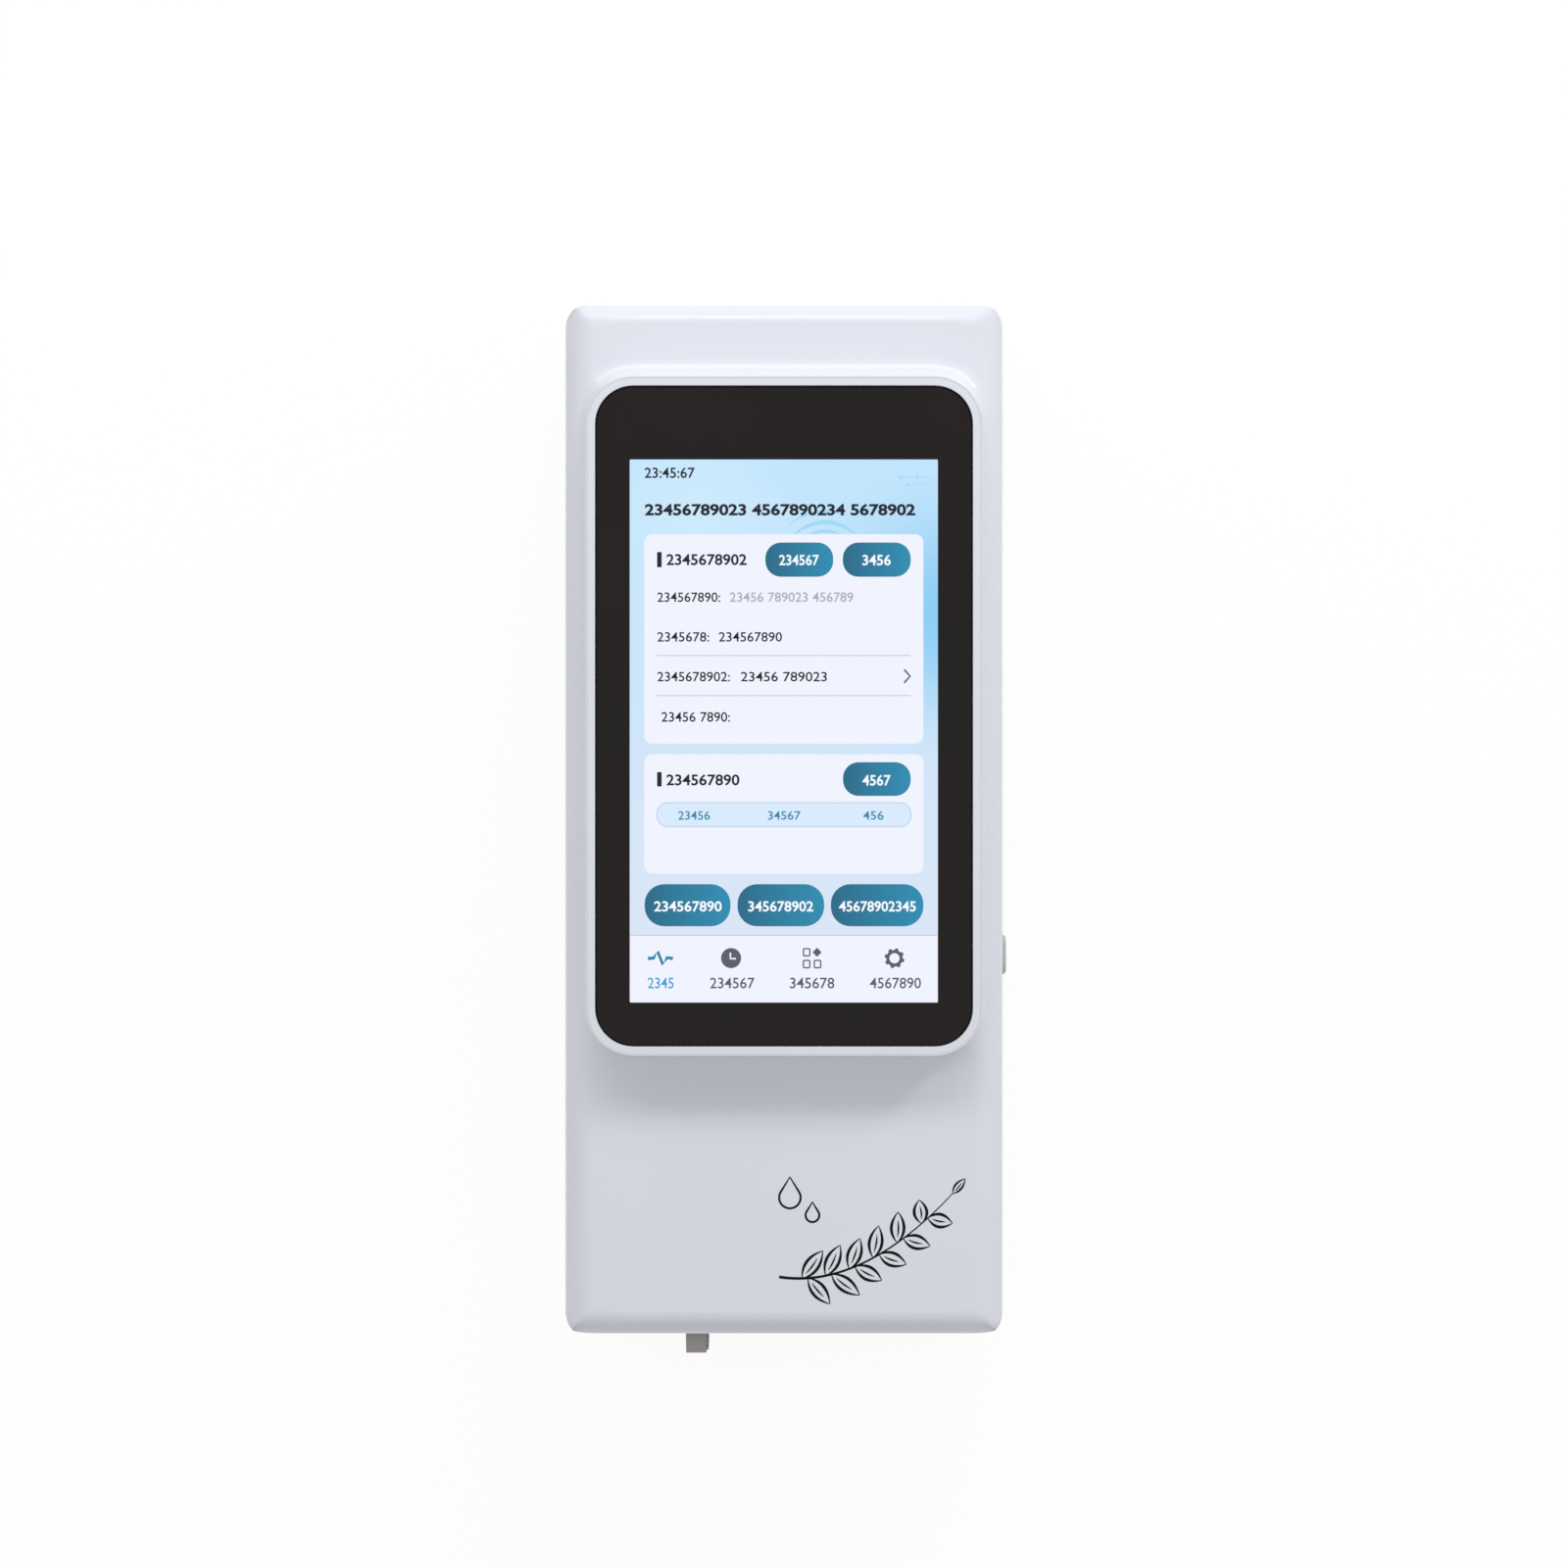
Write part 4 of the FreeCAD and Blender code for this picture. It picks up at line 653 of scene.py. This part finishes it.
def deck_sprig():
    """A leafy sprig and two drops in fine black strokes, flat on the deck."""
    deck_z, ink_thick = 49.0, 0.03
    steps = 30
    sheet = Print("deck_sprig", "front_shell", 1, DECK_UNIT)
    sheet.low = deck_z
    sheet.high = deck_z + ink_thick
    stem = curve_through((795, 1303), (880, 1316), (972, 1218), steps)
    sheet.ribbon(stem, [3.0 - 2.0 * k / (steps - 1) for k in range(steps)])
    chance = random.Random(7)
    for k in range(4, steps - 2, 4):
        run = Vector(stem[k + 1]) - Vector(stem[k])
        heading = math.atan2(run.y, run.x)
        size = 40 - k * 0.55
        for side in (-1, 1):
            turn = heading + side * (0.85 + 0.1 * chance.random())
            leaf(sheet, stem[k + (side > 0)], size * (0.9 + 0.2 * chance.random()), turn, 13, 3.1)
    leaf(sheet, stem[-1], 20, math.radians(-50), 7, 2.2)
    for x, y, size in ((806, 1222, 11), (829, 1240, 7)):
        drop = [(x, y - 1.9 * size)] + ring(x, y, size, 20, -35, 250)
        sheet.ribbon(drop, 2.2, closed=True)
    ink = surface("print_ink", (0.0035, 0.0035, 0.004), 0.6, tone=0.2, tone_scale=500, grain=3000,
                  relief=0.004, Specular_IOR_Level=0.1)
    sheet.finish(ink, "chip_black")


# ---------------------------------------------------------------- small pieces
def stacked(mesh, rings):
    """Closed surface through stacked rings of equally many points, in mm."""
    rows = [[mesh.verts.new([c * MM for c in p]) for p in points] for points in rings]
    for lower, upper in zip(rows, rows[1:]):
        for k in range(len(lower)):
            n = (k + 1) % len(lower)
            mesh.faces.new((lower[k], lower[n], upper[n], upper[k]))
    mesh.faces.new(rows[0][::-1])
    mesh.faces.new(rows[-1])


def solid_centres(node):
    """Box centres of a node's separate solids, in mm, always in the same order."""
    mesh = bmesh.new()
    mesh.from_mesh(frame["nodes"][node].data)
    bmesh.ops.remove_doubles(mesh, verts=mesh.verts, dist=1e-6)
    unseen = set(mesh.verts)
    centres = []
    while unseen:
        group = [unseen.pop()]
        for vert in group:
            for edge in vert.link_edges:
                other = edge.other_vert(vert)
                if other in unseen:
                    unseen.remove(other)
                    group.append(other)
        spans = [[v.co[axis] for v in group] for axis in range(3)]
        centres.append([(min(span) + max(span)) / 2 / MM for span in spans])
    mesh.free()
    return sorted(centres)


def rubber_feet():
    """Rounded pads with a soft lower edge and a shallow dished sole."""
    low, high = (corner[2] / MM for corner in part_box("rubber_feet"))
    half_x, half_y, corner_r, least_r = 4.5, 7, 3.2, 0.6
    profile = [(2.6, low + 0.35), (1.6, low + 0.12), (0.9, low), (0.35, low + 0.12), (0.05, low + 0.5),
               (0.0, low + 0.9), (0.0, high)]
    mesh = bmesh.new()
    for cx, cy, _ in solid_centres("rubber_feet"):
        rings = []
        for inset, z in profile:
            outline = rounded(cx - half_x + inset, cy - half_y + inset, cx + half_x - inset,
                              cy + half_y - inset, max(least_r, corner_r - inset), 6)
            rings.append([(x, y, z) for x, y in outline])
        stacked(mesh, rings)
    bmesh.ops.recalc_face_normals(mesh, faces=mesh.faces)
    feet = make_piece("rubber_feet_pads", mesh, FINISHES["foot_rubber"], "housing")
    feet.data.shade_smooth()
    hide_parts("rubber_feet")


def pull_tab():
    """Square-ended tapered fin with fine grip ribs down its right flank."""
    low, high = ([c / MM for c in corner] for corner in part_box("tray_tab"))
    middle = (low[0] + high[0]) / 2
    front, reach = -105.8, 8.1
    tip = front - reach
    half_root, half_tip, soft = 2.33, 2.16, 0.22
    ribs, first_rib, half_rib, rib_out, rib_taper = 7, 1.2, 0.31, 2.72, 0.021
    mesh = bmesh.new()

    def outline(inset, z):
        root, end = half_root - inset, half_tip - inset
        return [(middle - end, tip + inset, z), (middle + end, tip + inset, z),
                (middle + root, front, z), (middle + root, high[1], z),
                (middle - root, high[1], z), (middle - root, front, z)]

    stacked(mesh, [outline(0, low[2]), outline(0, high[2] - soft), outline(soft, high[2])])
    for k in range(ribs):
        y = front - first_rib - k
        out = middle + rib_out - rib_taper * k
        stacked(mesh, [[(middle, y - half_rib, z), (out, y - half_rib, z),
                        (out, y + half_rib, z), (middle, y + half_rib, z)]
                       for z in (low[2] + 0.9, high[2] - 0.5)])
    bmesh.ops.recalc_face_normals(mesh, faces=mesh.faces)
    tab = make_piece("pull_tab_fin", mesh, FINISHES["tab_plastic"], "card_drawer")
    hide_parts("tray_tab")


def rim_bead():
    """Crisp lip round the glass, over the platform's chamfered edge. Its section is a closed list of
    insets from the outer edge and heights."""
    half_x, half_y, mid_y, corner_r, top = 40.2, 68.85, 21.15, 9.7, 58.0
    lip, depth, sink = 0.42, 0.44, 0.1
    section = [(0.0, top - depth), (0.0, top - sink), (0.1, top), (lip, top), (lip, top - sink),
               (0.04, top - 0.48)]
    mesh = bmesh.new()
    loops = []
    for inset, z in section:
        outline = rounded(inset - half_x, mid_y - half_y + inset, half_x - inset,
                          mid_y + half_y - inset, corner_r - inset, 10)
        loops.append([mesh.verts.new((x * MM, y * MM, z * MM)) for x, y in outline])
    for k, lower in enumerate(loops):
        upper = loops[(k + 1) % len(loops)]
        for i in range(len(lower)):
            n = (i + 1) % len(lower)
            mesh.faces.new((lower[i], lower[n], upper[n], upper[i]))
    bmesh.ops.recalc_face_normals(mesh, faces=mesh.faces)
    make_piece("platform_rim_bead", mesh, FINISHES["shell_plastic"], "housing")


def usb_contacts():
    """Gold contact strips on both faces of the inlet's tongue."""
    strips, pitch, half_wide, half_thick = 8, 0.62, 0.17, 0.03
    tongue_z, off_tongue = 42.8, 0.36
    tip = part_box("usb_port")[1][1] / MM - 1.3
    start, end = tip - 3.2, tip - 0.35
    mesh = bmesh.new()
    for k in range(strips):
        x = (k - (strips - 1) / 2) * pitch
        outline = rounded(x - half_wide, start, x + half_wide, end, 0.08, 2)
        for side in (-1, 1):
            z = tongue_z + side * off_tongue
            stacked(mesh, [[(a, b, z + dz) for a, b in outline] for dz in (-half_thick, half_thick)])
    bmesh.ops.recalc_face_normals(mesh, faces=mesh.faces)
    gold = metal("contact_gold", (0.75, 0.5, 0.16), 0.2, grain=4000, relief=0.003)
    make_piece("usb_contacts", mesh, gold, "housing")


# ---------------------------------------------------------------- camera, lights and floor
def aimed(thing, place, target):
    """Puts a thing at a place, turned towards a target."""
    thing.location = place
    thing.rotation_euler = (Vector(target) - Vector(place)).to_track_quat("-Z", "Y").to_euler()
    bpy.context.scene.collection.objects.link(thing)


def area_light(name, place, size, power, colour=(1, 1, 1)):
    """Oval lamp of a width and a height, aimed at the object."""
    light = bpy.data.lights.new(name, "AREA")
    light.shape = "ELLIPSE"
    light.size, light.size_y = size
    light.energy = power
    light.color = colour
    aimed(bpy.data.objects.new(name, light), place, (0, 0, 0.05))


def lamps():
    """Key lamp at the upper right, a long lamp beyond the far end, a weak one and a glint at the left."""
    area_light("key", (0.82, 0.74, 0.51), (0.24, 0.24), 3.5, (0.97, 1.0, 1.0))
    area_light("top", (0, 0.62, 0.52), (1.1, 0.2), 2.44, (0.98, 1.0, 1.0))
    area_light("left", (-0.9, 0.15, 0.5), (0.5, 0.5), 0.41)
    area_light("glint", (-0.72, 0.74, 0.5), (0.14, 0.14), 0.3)


def camera():
    """Looks straight down on the screen, with the drawer's end at the bottom of the view."""
    data = bpy.data.cameras.new("camera")
    height = 0.8078
    data.lens = 85.07
    data.clip_start = 0.01
    view = bpy.data.objects.new("camera", data)
    view.location = (0, PAGE_Y * MM, height)
    bpy.context.scene.collection.objects.link(view)
    bpy.context.scene.camera = view


def seen_directly(tree):
    """1 for camera, mirror and glass rays, 0 for the light that falls on the object."""
    rays = add(tree, "LightPath")
    sharp = add(tree, "Math", {"operation": "ADD", "use_clamp": True},
                _0=rays.outputs["Is Camera Ray"], _1=rays.outputs["Is Transmission Ray"]).outputs[0]
    return add(tree, "Math", {"operation": "ADD", "use_clamp": True}, _0=sharp,
               _1=rays.outputs["Is Glossy Ray"]).outputs[0]


def world(ambient):
    """Even pale light, and a white surround wherever it is seen."""
    made = bpy.data.worlds.new("surround")
    made.use_nodes = True
    tree = made.node_tree
    tree.nodes.clear()
    soft = add(tree, "Background", None, Color=(*ambient, 1), Strength=1.0)
    white = add(tree, "Background", None, Color=(1, 1, 1, 1), Strength=1.0)
    blend = add(tree, "MixShader", None, _0=seen_directly(tree))
    tree.links.new(soft.outputs[0], blend.inputs[1])
    tree.links.new(white.outputs[0], blend.inputs[2])
    tree.links.new(blend.outputs[0], add(tree, "OutputWorld").inputs["Surface"])
    bpy.context.scene.world = made


def floor():
    """Wide pale floor, white where it is seen directly, that still takes a faint shadow."""
    mesh = bmesh.new()
    bmesh.ops.create_grid(mesh, x_segments=8, y_segments=8, size=3.0)
    data = bpy.data.meshes.new("floor")
    mesh.to_mesh(data)
    mesh.free()
    material, tree, shader = new_material("floor_paper")
    dark, pale = (0.58, 0.57, 0.56, 1), (0.6, 0.59, 0.58, 1)
    where = place_on_object(tree)
    tone = mixed(tree, spread(tree, noise(tree, where, 3), 0, 1), dark, pale)
    tree.links.new(tone, shader.inputs["Base Color"])
    shader.inputs["Roughness"].default_value = 0.9
    shader.inputs["Specular IOR Level"].default_value = 0.0
    white = add(tree, "Emission", None, Color=(1, 1, 1, 1), Strength=1.08)
    most = 0.85
    share = add(tree, "Math", {"operation": "MULTIPLY"}, _0=seen_directly(tree), _1=most).outputs[0]
    blend = add(tree, "MixShader", None, _0=share)
    tree.links.new(shader.outputs[0], blend.inputs[1])
    tree.links.new(white.outputs[0], blend.inputs[2])
    tree.links.new(blend.outputs[0], tree.nodes["Material Output"].inputs["Surface"])
    data.materials.append(material)
    sheet = bpy.data.objects.new("floor", data)
    bpy.context.scene.collection.objects.link(sheet)


camera()
finish_nodes()
rubber_feet()
usb_contacts()
screen_picture()
screen_cards()
screen_pills()
screen_dark_figures()
screen_tinted_figures()
screen_icons()
deck_sprig()
pull_tab()
rim_bead()
lamps()
world((0.605, 0.605, 0.603))
floor()
bpy.context.scene.view_settings.view_transform = "Standard"
